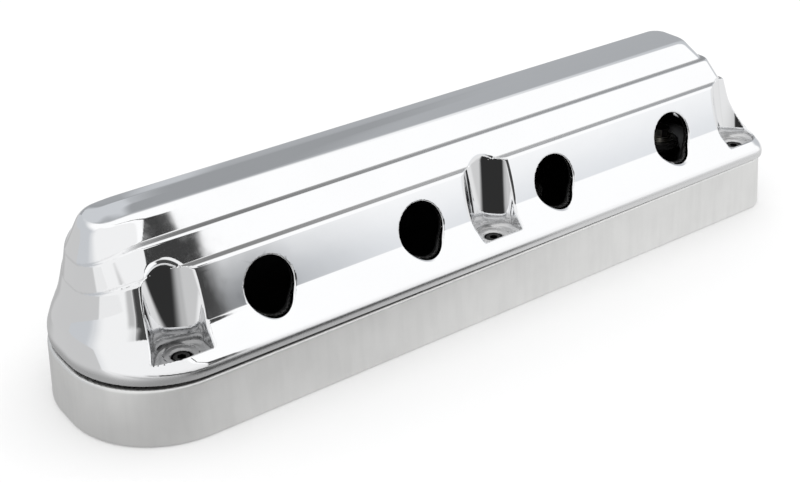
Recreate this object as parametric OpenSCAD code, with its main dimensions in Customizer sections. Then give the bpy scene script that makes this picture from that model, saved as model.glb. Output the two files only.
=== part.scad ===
// Valve cover of a V engine: a low base casting that bolts to the cylinder head through its
// centre line, and a tall three-tier cover that hides the ignition coils on its deck.
// Frame: +X along the rail towards the squared tail, -Y the side that faces outwards,
// +Z up, origin in the middle of the rail face. All lengths are millimetres.

/* [Base casting] */
// Length of the base at its rail face
base_len = 443; // [436:1:452]
// Width of the base at its rail face
base_w = 112; // [110:1:118]
// Plan radius of the two nose corners
nose_r = 50; // [46:1:53]
// Plan radius of the two tail corners
tail_r = 18; // [14:1:20]
// Height of the rim midway along the base
rim_z = 31.9; // [31:0.1:34]
// Rise of the rim from the nose to the tail
rim_rise = 1.8; // [0:0.1:2.4]
// Draft of the sides and of the nose, from rail face to rim
base_draft = 1.3; // [0.6:0.1:1.6]
// Draft of the tail end, from rail face to rim
tail_draft = 3.2; // [1:0.1:3.4]
// Rounding of the base's lower and upper outer edges
base_edge = 0.8; // [0.4:0.1:1.2]
// Width of the rail round the oil side
rail_w = 9.5; // [8.5:0.1:10.5]
// Wall round the coil tray, above the deck
tray_wall = 5; // [4.4:0.1:6]
// Height of the deck's upper face
deck_z = 28; // [26:0.5:29]
// Thickness of the deck
deck_t = 3.5; // [3:0.1:5]

/* [Rail gasket] */
// Distance of the gasket groove from the outer edge of the rail
groove_in = 2.4; // [2:0.1:2.8]
// Width of the gasket groove
groove_w = 4.8; // [4:0.1:5.2]
// Depth of the gasket groove
groove_depth = 3.6; // [3:0.1:4.2]
// Room on each side of the gasket, and above it
gasket_room = 0.15; // [0.1:0.05:0.3]

/* [Cover section] */
// Gap between the rim and the cover's lower edge, at the tail
seam_gap = 0.3; // [0.2:0.1:1]
// Height of the upright lip
lip_h = 5.3; // [4:0.1:6]
// Step of the lip inwards from the base's rail face
lip_step = 0.2; // [0:0.1:0.8]
// Run of the skirt, from the lip to the fold
skirt_run = 14.8; // [13:0.1:16]
// Rise of the skirt, from the lip to the fold
skirt_rise = 12.2; // [11:0.1:13]
// Lean of the wall above the fold
wall_run = 8.5; // [7.5:0.1:9.5]
// Rise of the wall, from the fold to the lower ledge
wall_rise = 27.6; // [26:0.1:29]
// Width of both ledges
ledge_w = 3; // [2:0.1:3.4]
// Fall of both ledges outwards
ledge_fall = 0.3; // [0.1:0.1:0.6]
// Lean of the middle tier
tier2_run = 6; // [5:0.1:7]
// Rise of the middle tier
tier2_rise = 12.8; // [11.5:0.1:14]
// Lean of the top tier
tier1_run = 7.3; // [6.5:0.1:8]
// Rise of the top tier
tier1_rise = 11.4; // [10.5:0.1:13]
// Rise of the crown above the top edges
crown_rise = 1; // [0.4:0.1:1.6]
// Run of the crown's rounding on each side
crown_run = 9; // [7:0.1:9]
// Thickness of the cover's walls
cover_wall = 4; // [3.4:0.1:4.4]

/* [Cover nose] */
// Share of the half width that is rounded at the nose
nose_share = 0.9; // [0.8:0.01:0.96]
// Step of the nose inwards from the base's rail face
nose_lip_step = 1.9; // [1.6:0.1:2.4]
// Run of the skirt at the nose
nose_skirt_run = 1.5; // [1:0.1:3]
// Run of the wall's lower part at the nose
nose_wall_run_low = 4.6; // [3:0.1:6]
// Run of the wall's upper part at the nose
nose_wall_run_high = 3; // [2:0.1:4]
// Run of the middle tier at the nose
nose_tier2_run = 2; // [1:0.1:3]
// Run of the top tier at the nose
nose_tier1_run = 7.2; // [6:0.1:9]
// Dip of the ledges where they run out round the nose
nose_dip = 8.5; // [4:0.5:10]

/* [Cover tail] */
// Step of the tail inwards from the base's rail face
tail_lip_step = 4.1; // [4:0.1:5]
// Run of the skirt at the tail
tail_skirt_run = 4.3; // [3:0.1:5]
// Run of the wall's lower part at the tail
tail_wall_run_low = 7.3; // [6:0.1:9]
// Run of the wall's upper part at the tail
tail_wall_run_high = 4.1; // [3:0.1:5]
// Width of the lower ledge at the tail
tail_ledge2_w = 1.9; // [1.4:0.1:3]
// Run of the middle tier at the tail
tail_tier2_run = 6.3; // [5:0.1:8]
// Width of the upper ledge at the tail
tail_ledge1_w = 2.5; // [1.6:0.1:3]
// Run of the top tier at the tail
tail_tier1_run = 7; // [6:0.1:9]
// Plan radius of the tail corners at the lip and fold
tail_corner_low = 12; // [9:0.5:14]
// Plan radius of the tail corners at the top edges
tail_corner_high = 5; // [4.6:0.1:6]

/* [Wire holes] */
// Number of wire holes
wire_count = 4; // [4:1:4]
// Spacing of the wire holes
wire_pitch = 91.4; // [88:0.1:93]
// Middle of the row of wire holes along the base
wire_mid_x = 11; // [9:0.5:13]
// Height of the wire holes above the cover's lower edge
wire_rise = 24.9; // [23:0.1:26]
// Radius of the wire holes
wire_r = 13.7; // [12:0.1:14.5]

/* [Screw pockets] */
// Spacing of the cover screws along the base
screw_pitch = 189; // [186:0.5:190]
// Middle of the screw pattern along the base
screw_mid_x = 12; // [11:0.5:12.5]
// Distance of the screws from the base's side
screw_in = 15.3; // [14.5:0.1:16.5]
// Height of the pocket floors above the cover's lower edge
floor_rise = 6.9; // [6:0.1:8]
// Radius of a pocket at its floor
pocket_r = 13.75; // [13:0.05:14.5]
// Draft angle of the pocket walls
pocket_draft = 3.5; // [2:0.1:4]
// Thickness of a pocket's floor
floor_t = 4; // [3:0.1:5]
// Radius of the machined spot face on a pocket's floor
spot_r = 11; // [9:0.1:12]
// Depth of the spot face
spot_depth = 0.5; // [0.2:0.1:0.8]
// Radius of the post round a screw, under its pocket
post_r = 8; // [7:0.1:9]
// Drop of the posts below the cover's lower edge
post_drop = 3.6; // [3:0.1:4]
// Thickness of a post's shelf under the screw head
shelf_t = 4; // [3:0.1:4.4]

/* [Harness notch] */
// Middle of the notch across the tail
notch_y = 12; // [9:0.5:12]
// Width of the notch
notch_w = 20; // [16:0.5:20]
// Height of the notch above the cover's lower edge
notch_h = 8; // [6:0.1:10]
// Radius of the notch's upper corners
notch_r = 3; // [1:0.1:5]

/* [Cover screws] */
// Radius of the screw head
head_r = 4.25; // [4:0.05:4.5]
// Height of the screw head
head_h = 5; // [4:0.1:5]
// Width of the hexagon socket across its flats
socket_af = 4; // [3:0.1:4.4]
// Depth of the hexagon socket
socket_depth = 2.6; // [2:0.1:3]
// Radius of the screw's thread
screw_r = 2.5; // [2:0.1:2.6]
// Length of the screw below its head
screw_len = 20; // [16:1:22]
// Room round a screw head in its counterbore
head_room = 0.7; // [0.4:0.1:0.9]
// Room round a screw's thread in the cover
screw_room = 0.3; // [0.2:0.05:0.5]
// Room round a thread in its tapped hole
thread_room = 0.05; // [0.02:0.01:0.1]
// Radius of the tapped columns in the base
column_r = 6.5; // [5.5:0.1:7.5]
// Depth of a tapped hole past the screw's end
tap_spare = 2; // [1:0.5:3]

/* [Head bolts] */
// Number of head bolts along the centre line
bolt_count = 4; // [4:1:4]
// Spacing of the head bolts
bolt_pitch = 111.76; // [108:0.01:114]
// Middle of the row of head bolts along the base
bolt_mid_x = 11; // [9:0.5:13]
// Outer radius of the collars
collar_r = 13; // [12.4:0.1:14]
// Height of the collars above the deck
collar_rise = 4; // [3:0.5:6]
// Depth of the collars below the deck's upper face
collar_drop = 16; // [12:0.5:17]
// Radius of the bore for the grommet
grommet_bore_r = 8.5; // [8:0.1:9]
// Radius of the grommet's flange
grommet_flange_r = 12; // [11:0.1:12.4]
// Thickness of the grommet's flange
grommet_flange_t = 3; // [2:0.1:4]
// Room between the grommet and its bore, and round the sleeve
rubber_room = 0.15; // [0.1:0.05:0.3]
// Outer radius of the sleeve
sleeve_r = 5; // [4.4:0.1:5.5]
// Radius of the head bolt's thread
bolt_r = 3; // [2.8:0.1:3.4]
// Radius of the plain shank between its head and its thread
bolt_shank_r = 2.7; // [2.4:0.1:2.8]
// Length of the thread at the bolt's free end
bolt_thread = 10; // [8:0.5:10]
// Room round the bolt in its sleeve and washer
bolt_room = 0.3; // [0.2:0.05:0.5]
// Outer radius of the washer
washer_r = 10; // [8:0.1:11]
// Thickness of the washer
washer_t = 1.6; // [1:0.1:2]
// Length of the head bolt below its head
bolt_len = 35; // [30:0.5:35]
// Width of the bolt's hexagon across its flats
hex_af = 10; // [8:0.5:11]
// Height of the bolt's hexagon
hex_h = 5; // [4:0.5:6]
// Radius of the flange under the hexagon
flange_r = 7; // [6.6:0.1:8]
// Thickness of the flange
flange_t = 1.5; // [1:0.1:2]

/* [Deck fittings] */
// Distance between the two bosses of one coil
coil_span = 46; // [40:1:50]
// Radius of a coil boss
coil_boss_r = 5.5; // [5:0.1:6]
// Height of a coil boss above the deck
coil_boss_h = 5; // [3:0.5:6]
// Radius of the tapped hole in a coil boss
coil_tap_r = 2.5; // [2:0.1:3]
// Metal left under a coil boss's tapped hole
coil_tap_floor = 1.2; // [1:0.1:2]
// Thickness of the cross ribs under the deck
rib_t = 3; // [2:0.1:4]
// Depth of the cross ribs under the deck
rib_drop = 7; // [5:0.5:10]

/* [Hidden] */
$fn = 64;

// Small overlap that lets a cut pass a face
past = 1;
// Steps round a nose corner, round a tail corner and through an eased corner of the section
NOSE_STEPS = 14;
TAIL_STEPS = 6;
EASE_STEPS = 4;

// Heights, each from the one below it
seam_z = rim_z + rim_rise / 2 + seam_gap;
lip_z = seam_z + lip_h;
fold_z = lip_z + skirt_rise;
ledge2_z = fold_z + wall_rise;
ledge1_z = ledge2_z + ledge_fall + tier2_rise;
edge_z = ledge1_z + ledge_fall + tier1_rise;
top_z = edge_z + crown_rise;
floor_z = seam_z + floor_rise;
post_z = seam_z - post_drop;
shelf_z = post_z + shelf_t;
collar_z = deck_z + collar_rise;
washer_z = collar_z + grommet_flange_t;
bolt_z = washer_z + washer_t;

// Half widths of the cover's corners, each from the one outside it
lip_hw = base_w / 2 - lip_step;
fold_hw = lip_hw - skirt_run;
ledge2_hw = fold_hw - wall_run;
tier2_hw = ledge2_hw - ledge_w;
ledge1_hw = tier2_hw - tier2_run;
tier1_hw = ledge1_hw - ledge_w;
edge_hw = tier1_hw - tier1_run;

// Share of the wall's rise at which its end profiles bend
bend_share = 0.45;

// Nose and tail ends of the same corners
lip_nose = -base_len / 2 + nose_lip_step;
fold_nose = lip_nose + nose_skirt_run;
bend_nose = fold_nose + nose_wall_run_low;
ledge2_nose = bend_nose + nose_wall_run_high;
ledge1_nose = ledge2_nose + nose_tier2_run;
edge_nose = ledge1_nose + nose_tier1_run;
lip_tail = base_len / 2 - tail_lip_step;
fold_tail = lip_tail - tail_skirt_run;
bend_tail = fold_tail - tail_wall_run_low;
ledge2_tail = bend_tail - tail_wall_run_high;
tier2_tail = ledge2_tail - tail_ledge2_w;
ledge1_tail = tier2_tail - tail_tier2_run;
tier1_tail = ledge1_tail - tail_ledge1_w;
edge_tail = tier1_tail - tail_tier1_run;

screw_y = base_w / 2 - screw_in;
screw_places = [for (side = [-1, 1]) for (i = [-1:1]) [screw_mid_x + i * screw_pitch, side * screw_y]];
function row_x(i, count, pitch, middle) = middle + (i - (count - 1) / 2) * pitch;
function bolt_x(i) = row_x(i, bolt_count, bolt_pitch, bolt_mid_x);
function wire_x(i) = row_x(i, wire_count, wire_pitch, wire_mid_x);

// A station is one level of a skin: [half width, nose x, tail x, tail radius, z, dip, tilt].
// Dip is the share of the nose's dip that it takes, and tilt its fall or rise along x.
cover_stations = [
    [lip_hw - 0.3, lip_nose + 0.3, lip_tail - 0.3, tail_corner_low, seam_z, 0, 0],
    [lip_hw, lip_nose, lip_tail, tail_corner_low, lip_z, 0, 0],
    [fold_hw, fold_nose, fold_tail, tail_corner_low, fold_z, 0.15, 0],
    [fold_hw - bend_share * wall_run, bend_nose, bend_tail, tail_corner_low - 2,
        fold_z + bend_share * wall_rise, 0.55, 0],
    [ledge2_hw, ledge2_nose, ledge2_tail, tail_corner_high + 2, ledge2_z, 1, 0],
    [tier2_hw, ledge2_nose, tier2_tail, tail_corner_high + 1.5, ledge2_z + ledge_fall, 1, 0],
    [ledge1_hw, ledge1_nose, ledge1_tail, tail_corner_high + 1, ledge1_z, 1, 0],
    [tier1_hw, ledge1_nose, tier1_tail, tail_corner_high + 0.5, ledge1_z + ledge_fall, 1, 0],
    [edge_hw, edge_nose, edge_tail, tail_corner_high, edge_z, 0.3, 0],
    [edge_hw - crown_run, edge_nose + crown_run, edge_tail - crown_run, 3, top_z, 0, 0]
];
// Length of each station's easing into its neighbours
cover_easing = [0, 3.2, 2, 5, 1.2, 0.8, 1.2, 0.8, 2.6, 0];

// The inner skin follows the outer one, a wall's thickness inside and a little lower
inner_drop = 0.6 * cover_wall;
function inwards(s, drop) = [
    s[0] - cover_wall, s[1] + cover_wall, s[2] - cover_wall, max(s[3] - cover_wall, 1), s[4] - drop, s[5], s[6]
];
cavity_stations = concat(
    [inwards(cover_stations[0], past)],
    [for (i = [1:7]) inwards(cover_stations[i], inner_drop)],
    [[edge_hw - cover_wall, edge_nose + cover_wall, edge_tail - cover_wall, 1, edge_z - cover_wall, 0, 0]]
);
cavity_easing = [0, 2, 2, 4, 1, 1, 1, 1, 0];

rim_tilt = rim_rise / base_len;
base_stations = [
    [base_w / 2 - base_edge, -base_len / 2 + base_edge, base_len / 2 - base_edge, tail_r - base_edge, 0, 0, 0],
    [base_w / 2, -base_len / 2, base_len / 2, tail_r, base_edge, 0, 0],
    [base_w / 2 - base_draft, -base_len / 2 + base_draft, base_len / 2 - tail_draft, tail_r - base_draft,
        rim_z - base_edge, 0, rim_tilt],
    [base_w / 2 - base_draft - base_edge, -base_len / 2 + base_draft + base_edge,
        base_len / 2 - tail_draft - base_edge, tail_r - base_draft - base_edge, rim_z, 0, rim_tilt]
];
base_easing = [0, 0.5, 0.5, 0];

// Points between two stations p and q, eased at p towards its neighbours a and b
function gap(p, q) = norm([p[0] - q[0], p[4] - q[4]]);
function eased(a, p, b, reach) = let (
    from = p + (a - p) * min(reach / gap(a, p), 0.45),
    to = p + (b - p) * min(reach / gap(b, p), 0.45)
) [
    for (i = [0:EASE_STEPS]) let (t = i / EASE_STEPS)
        (1 - t) * (1 - t) * from + 2 * t * (1 - t) * p + t * t * to
];
function levels(stations, easing) = [
    for (i = [0:len(stations) - 1])
        each (easing[i] == 0
            ? [stations[i]]
            : eased(stations[i - 1], stations[i], stations[i + 1], easing[i]))
];

// One level as a closed ring of points, anticlockwise from above
function arc_points(x, y, r, from, to, steps) = [
    for (i = [0:steps]) let (a = from + (to - from) * i / steps) [x + r * cos(a), y + r * sin(a), a]
];
function ring(s, rounding) = let (
    r = rounding == 0 ? nose_share * s[0] : s[0] - (base_w / 2 - rounding),
    tail = s[2] - s[3],
    nose = s[1] + r,
    plan = concat(
        arc_points(tail, -s[0] + s[3], s[3], -90, 0, TAIL_STEPS),
        arc_points(tail, s[0] - s[3], s[3], 0, 90, TAIL_STEPS),
        arc_points(nose, s[0] - r, r, 90, 180, NOSE_STEPS),
        arc_points(nose, -s[0] + r, r, 180, 270, NOSE_STEPS)
    )
) [
    for (p = plan) [
        p[0], p[1],
        s[4] + s[6] * p[0] - (p[2] > 90 ? nose_dip * s[5] * pow(cos(p[2]), 2) : 0)
    ]
];

// Closed skin through all levels. A rounding of 0 keeps the nose's share, else it is the nose radius.
module loft(stations, easing, rounding) {
    rings = [for (s = levels(stations, easing)) ring(s, rounding)];
    n = len(rings[0]);
    last = len(rings) - 1;
    sides = [
        for (k = [0:last - 1]) for (i = [0:n - 1]) let (j = (i + 1) % n)
            each [[k * n + i, (k + 1) * n + i, (k + 1) * n + j], [k * n + i, (k + 1) * n + j, k * n + j]]
    ];
    polyhedron(
        points = [for (r = rings) each r],
        faces = concat([[for (i = [0:n - 1]) i]], sides, [[for (i = [n - 1:-1:0]) last * n + i]]),
        convexity = 6
    );
}

// The base's outline as exact arcs and straights, a given distance inside the rail's edge
module plan(inset) {
    for (side = [-1, 1]) {
        translate([-base_len / 2 + nose_r, side * (base_w / 2 - nose_r)])
            circle(nose_r - inset);
        translate([base_len / 2 - tail_r, side * (base_w / 2 - tail_r)])
            circle(tail_r - inset);
    }
    translate([-base_len / 2 + inset, -base_w / 2 + nose_r])
        square([base_len - 2 * inset, base_w - 2 * nose_r]);
    translate([-base_len / 2 + nose_r, -base_w / 2 + inset])
        square([base_len - nose_r - tail_r, base_w - 2 * inset]);
    translate([-base_len / 2 + nose_r, -base_w / 2 + tail_r])
        square([base_len - nose_r - inset, base_w - 2 * tail_r]);
}

// A band that follows the rail, from one distance inside its edge to another
module rail_band(from, to, height) {
    linear_extrude(height)
        difference() {
            plan(from);
            plan(to);
        }
}

// Upright tube or rod between two heights
module rod(r, z0, z1) {
    translate([0, 0, z0])
        cylinder(h = z1 - z0, r = r);
}

module base() {
    color([0.76, 0.76, 0.75])
    difference() {
        union() {
            difference() {
                loft(base_stations, base_easing, nose_r);
                translate([0, 0, -past])
                    linear_extrude(deck_z - deck_t + past)
                        plan(rail_w);
                translate([0, 0, deck_z])
                    linear_extrude(seam_z)
                        plan(tray_wall + tail_draft / 2);
            }
            base_columns();
            base_collars();
            coil_bosses();
        }
        translate([0, 0, -past])
            rail_band(groove_in, groove_in + groove_w, groove_depth + past);
        for (p = screw_places)
            translate(p)
                rod(screw_r + thread_room, shelf_z - screw_len - tap_spare, post_z + past);
        for (i = [0:bolt_count - 1])
            translate([bolt_x(i), 0])
                rod(grommet_bore_r, deck_z - collar_drop - past, collar_z + past);
        for (i = [0:wire_count - 1])
            for (side = [-1, 1])
                translate([wire_x(i), side * coil_span / 2])
                    rod(coil_tap_r, deck_z - deck_t + coil_tap_floor, deck_z + coil_boss_h + past);
    }
}

// Tapped columns for the cover screws, from the deck's underside up to the posts
module base_columns() {
    for (p = screw_places)
        translate(p)
            rod(column_r, shelf_z - screw_len - tap_spare - 2, post_z);
}

// Collars for the head bolts, each with a cross rib out to the rail
module base_collars() {
    for (i = [0:bolt_count - 1]) {
        translate([bolt_x(i), 0])
            rod(collar_r, deck_z - collar_drop, collar_z);
        translate([bolt_x(i) - rib_t / 2, -base_w / 2 + rail_w - past, deck_z - deck_t - rib_drop])
            cube([rib_t, base_w - 2 * rail_w + 2 * past, rib_drop + past]);
    }
}

// A pair of bosses across the deck for each ignition coil
module coil_bosses() {
    for (i = [0:wire_count - 1])
        for (side = [-1, 1])
            translate([wire_x(i), side * coil_span / 2])
                rod(coil_boss_r, deck_z - past, deck_z + coil_boss_h);
}

module rail_gasket() {
    color([0.10, 0.10, 0.11])
        rail_band(groove_in + gasket_room, groove_in + groove_w - gasket_room, groove_depth - gasket_room);
}

// Form of a screw pocket: a cone round the screw that runs out to the side as a drafted channel.
// Growing it by the wall gives the body that surrounds the pocket inside the cover.
module pocket_form(grow, z0) {
    z1 = top_z + past;
    r0 = pocket_r + grow + (z0 - floor_z) * tan(pocket_draft);
    r1 = pocket_r + grow + (z1 - floor_z) * tan(pocket_draft);
    translate([0, 0, z0])
        cylinder(h = z1 - z0, r1 = r0, r2 = r1);
    rotate([90, 0, 0])
        linear_extrude(screw_in + 3 * past)
            polygon([[-r0, z0], [r0, z0], [r1, z1], [-r1, z1]]);
}

module pocket_forms(grow, z0) {
    for (p = screw_places)
        translate(p)
            mirror([0, p[1] > 0 ? 1 : 0, 0])
                pocket_form(grow, z0);
}

module cover() {
    color([0.88, 0.89, 0.91])
    difference() {
        union() {
            difference() {
                loft(cover_stations, cover_easing, 0);
                difference() {
                    loft(cavity_stations, cavity_easing, 0);
                    pocket_forms(cover_wall, floor_z - floor_t);
                }
            }
            for (p = screw_places)
                translate(p)
                    rod(post_r, post_z, floor_z - past);
        }
        pocket_forms(0, floor_z);
        screw_seats();
        wire_holes();
        harness_notch();
    }
}

// Spot face, counterbore with its bevelled mouth, and clearance hole of each cover screw
module screw_seats() {
    seat_z = floor_z - spot_depth;
    bore_r = head_r + head_room;
    for (p = screw_places)
        translate(p) {
            rod(spot_r, seat_z, floor_z + past);
            rod(bore_r, shelf_z, floor_z + past);
            translate([0, 0, seat_z - head_room])
                cylinder(h = head_room + past, r1 = bore_r, r2 = bore_r + head_room + past);
            rod(screw_r + screw_room, post_z - past, shelf_z + past);
        }
}

module wire_holes() {
    for (i = [0:wire_count - 1])
        translate([wire_x(i), 0, seam_z + wire_rise])
            rotate([90, 0, 0])
                cylinder(h = base_w, r = wire_r);
}

// Way out for the coil harness, cut in the lower edge of the tail wall
module harness_notch() {
    translate([fold_tail - 3 * cover_wall, notch_y, seam_z])
        rotate([90, 0, 90])
            linear_extrude(5 * cover_wall) {
                translate([-notch_w / 2, -past])
                    square([notch_w, notch_h - notch_r + past]);
                translate([-notch_w / 2 + notch_r, -past])
                    square([notch_w - 2 * notch_r, notch_h + past]);
                for (side = [-1, 1])
                    translate([side * (notch_w / 2 - notch_r), notch_h - notch_r])
                        circle(notch_r);
            }
}

// Socket head screw, its head's edge bevelled
module cover_screw(i) {
    bevel = 0.4;
    color([0.13, 0.13, 0.14])
    translate([screw_places[i][0], screw_places[i][1], shelf_z])
        difference() {
            rotate_extrude()
                polygon([
                    [0, -screw_len], [screw_r - bevel, -screw_len], [screw_r, -screw_len + bevel], [screw_r, 0],
                    [head_r, 0], [head_r, head_h - bevel], [head_r - bevel, head_h], [0, head_h]
                ]);
            translate([0, 0, head_h - socket_depth])
                cylinder(h = socket_depth + past, r = socket_af / 2 / cos(30), $fn = 6);
        }
}

// Flanged hexagon bolt through the centre line, threaded at its free end only
module head_bolt(i) {
    bevel = 0.5;
    color([0.62, 0.62, 0.60])
    translate([bolt_x(i), 0, bolt_z]) {
        rotate_extrude()
            polygon([
                [0, -bolt_len], [bolt_r - bevel, -bolt_len], [bolt_r, -bolt_len + bevel],
                [bolt_r, -bolt_len + bolt_thread], [bolt_shank_r, -bolt_len + bolt_thread], [bolt_shank_r, 0],
                [flange_r, 0], [flange_r, flange_t / 2], [hex_af / 2, flange_t], [0, flange_t]
            ]);
        translate([0, 0, flange_t])
            cylinder(h = hex_h, r = hex_af / 2 / cos(30), $fn = 6);
    }
}

module head_washer(i) {
    color([0.70, 0.70, 0.68])
    translate([bolt_x(i), 0, washer_z])
        difference() {
            cylinder(h = washer_t, r = washer_r);
            rod(bolt_r + bolt_room, -past, washer_t + past);
        }
}

// Flanged rubber bush that seals the bolt to its collar
module head_grommet(i) {
    color([0.10, 0.10, 0.11])
    translate([bolt_x(i), 0])
        difference() {
            union() {
                rod(grommet_bore_r - rubber_room, deck_z - collar_drop, collar_z + past);
                rod(grommet_flange_r, collar_z, washer_z);
            }
            rod(sleeve_r + rubber_room, deck_z - collar_drop - past, washer_z + past);
        }
}

// Steel tube that limits how far the bolt squeezes the rubber
module head_sleeve(i) {
    color([0.66, 0.66, 0.64])
    translate([bolt_x(i), 0])
        difference() {
            rod(sleeve_r, deck_z - collar_drop, washer_z);
            rod(bolt_r + bolt_room, deck_z - collar_drop - past, washer_z + past);
        }
}

base();
cover();
rail_gasket();
for (i = [0:bolt_count - 1]) {
    head_bolt(i);
    head_washer(i);
    head_grommet(i);
    head_sleeve(i);
}
for (i = [0:5]) {
    cover_screw(i);
}
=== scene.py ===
"""Engine valve cover: a satin base casting under a mirror-polished three-tier cover.

The castings are distance fields, so that every edge, pocket and hole has a real fillet. They become meshes
on a grid that is fine only where the form needs it. What repeats is made by Geometry Nodes. Sizes are in
millimetres here and become metres when a mesh is made.
"""

import logging
import math
from dataclasses import dataclass, field
from enum import Enum, IntEnum
from typing import Any, Callable, Iterable, Optional, Sequence, Union

import bpy
import numpy as np
from mathutils import Matrix, Vector


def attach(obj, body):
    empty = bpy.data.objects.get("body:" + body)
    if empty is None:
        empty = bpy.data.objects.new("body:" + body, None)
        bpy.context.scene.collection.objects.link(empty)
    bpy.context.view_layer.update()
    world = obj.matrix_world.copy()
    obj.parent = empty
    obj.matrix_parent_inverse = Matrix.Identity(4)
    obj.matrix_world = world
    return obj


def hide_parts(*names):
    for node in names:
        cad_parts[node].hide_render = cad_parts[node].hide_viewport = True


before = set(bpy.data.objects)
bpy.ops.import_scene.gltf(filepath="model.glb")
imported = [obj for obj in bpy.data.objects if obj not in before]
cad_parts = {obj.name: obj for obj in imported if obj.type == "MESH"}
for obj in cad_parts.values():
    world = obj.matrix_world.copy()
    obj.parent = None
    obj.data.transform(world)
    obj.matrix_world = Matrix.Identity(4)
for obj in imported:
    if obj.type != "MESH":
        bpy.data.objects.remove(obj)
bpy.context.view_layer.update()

log = logging.getLogger("valve_cover")

MM = 0.001
TINY = 1e-9
BODY = "root"
HIDDEN = "hidden"
DULL_AND_SHADE = "dull_and_shade"
Colour = tuple[float, float, float, float]
Span = tuple[float, float, float]
Size = Union[float, np.ndarray]
Field = Callable[[np.ndarray, np.ndarray, np.ndarray], np.ndarray]
Term = Union["Wire", int, float]


class Side(Enum):
    """Which way along Y a feature of the cover lies."""

    OUT = -1
    IN = 1


class Slot(Enum):
    """Material slots of the record."""

    COVER = "polished_cover"
    BASE = "cast_base"
    RUBBER = "rubber_black"
    PLATED = "zinc_steel"
    TURNED = "turned_steel"
    BLACK = "black_steel"


class Column(IntEnum):
    """The values that vary along a casting's section, in the order of a skin's table."""

    HEIGHT = 0
    HALF = 1
    NOSE = 2
    TAIL = 3
    TAIL_R = 4
    DIP = 5


OUTLINE = (Column.HALF, Column.NOSE, Column.TAIL, Column.TAIL_R)


def operator(operation: str, swapped: bool = False) -> Callable[["Wire", Term], "Wire"]:
    """Make a method that puts a Math node on a wire and another value.

    Args:
        operation: The node's operation.
        swapped: Whether the other value comes first.

    Returns:
        The method.
    """
    def apply(wire: "Wire", other: Term) -> "Wire":
        """Result of the Math node."""
        return wire.board.maths(operation, *((other, wire) if swapped else (wire, other)))

    return apply


@dataclass(frozen=True)
class Wire:
    """An output socket that takes part in Python expressions."""

    board: "NodeBoard"
    socket: bpy.types.NodeSocket

    __add__ = operator("ADD")
    __radd__ = operator("ADD", True)
    __sub__ = operator("SUBTRACT")
    __rsub__ = operator("SUBTRACT", True)
    __mul__ = operator("MULTIPLY")
    __rmul__ = operator("MULTIPLY", True)
    __truediv__ = operator("DIVIDE")

    def clamped(self, low: float, high: float) -> "Wire":
        """This value held between two numbers."""
        return self.board.maths("MINIMUM", self.board.maths("MAXIMUM", self, low), high)

    def ramped(self, low: float, high: float) -> "Wire":
        """Smooth step of this value, 0 at low and 1 at high."""
        settings = {"interpolation_type": "SMOOTHSTEP", "clamp": True}
        inputs = {"Value": self, "From Min": low, "From Max": high}
        return self.board.node("ShaderNodeMapRange", settings, inputs)


class NodeBoard:
    """A node tree and the one way in which nodes are added to it.

    Attributes:
        COLOUR_A: Number of the Mix node's first colour, which shares its name with other sockets.
        COLOUR_B: Number of its second colour.
        MIXED: Number of its colour output.
    """

    COLOUR_A = 6
    COLOUR_B = 7
    MIXED = 2

    def __init__(self, tree: bpy.types.NodeTree) -> None:
        """Keep the shader or geometry tree to build in."""
        self.tree = tree

    def node(
        self,
        kind: str,
        settings: Optional[dict[str, Any]] = None,
        inputs: Optional[dict[Union[str, int], Any]] = None,
        output: Union[str, int] = 0,
    ) -> Wire:
        """Add a node, set it up and fill its sockets.

        Args:
            kind: The node's type name.
            settings: Properties that are set before the sockets.
            inputs: Values or wires by socket name or number.
            output: Name or number of the output to return.

        Returns:
            The chosen output.
        """
        made = self.tree.nodes.new(kind)
        for name, value in (settings or {}).items():
            setattr(made, name, value)
        for name, value in (inputs or {}).items():
            self.feed(made.inputs[name], value)
        return Wire(self, made.outputs[output] if len(made.outputs) else None)

    def feed(self, socket: bpy.types.NodeSocket, value: Any) -> None:
        """Give a socket a wire or a plain value.

        Args:
            socket: The input socket.
            value: A wire, or a value of the socket's own kind.
        """
        if isinstance(value, Wire):
            self.tree.links.new(value.socket, socket)
        else:
            socket.default_value = value

    def maths(self, operation: str, *operands: Term) -> Wire:
        """A Math node on some operands."""
        return self.node("ShaderNodeMath", {"operation": operation}, dict(enumerate(operands)))

    def scaled(self, vector: Wire, factor: Term) -> Wire:
        """A vector times a number."""
        return self.node("ShaderNodeVectorMath", {"operation": "SCALE"}, {0: vector, "Scale": factor})

    def axes(self, vector: Wire) -> list[Wire]:
        """The three parts of a vector."""
        parts = self.node("ShaderNodeSeparateXYZ", None, {0: vector})
        return [Wire(self, socket) for socket in parts.socket.node.outputs]

    def millimetres(self) -> Wire:
        """Object coordinates in millimetres."""
        return self.scaled(self.node("ShaderNodeTexCoord", output="Object"), 1 / MM)

    def mark(self, name: str) -> Wire:
        """A value from 0 to 1 that the mesh carries on its points."""
        return self.node("ShaderNodeAttribute", {"attribute_name": name}, None, "Fac")

    def noise(self, where: Wire, size: float, detail: float = 2.0) -> Wire:
        """Noise between 0 and 1, in patches of a size in millimetres, with some octaves of finer noise."""
        return self.node("ShaderNodeTexNoise", None, {"Vector": where, "Scale": 1 / size, "Detail": detail})

    def mix(self, factor: Term, low: Any, high: Any) -> Wire:
        """Blend of two colours or wires. A factor of 0 gives the first and 1 the second."""
        inputs = {0: factor, self.COLOUR_A: low, self.COLOUR_B: high}
        return self.node("ShaderNodeMix", {"data_type": "RGBA"}, inputs, self.MIXED)


def grey(value: float, tint: Sequence[float] = (1.0, 1.0, 1.0)) -> Colour:
    """A grey with a slight tint, as a colour of four values."""
    return (value * tint[0], value * tint[1], value * tint[2], 1.0)


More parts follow.
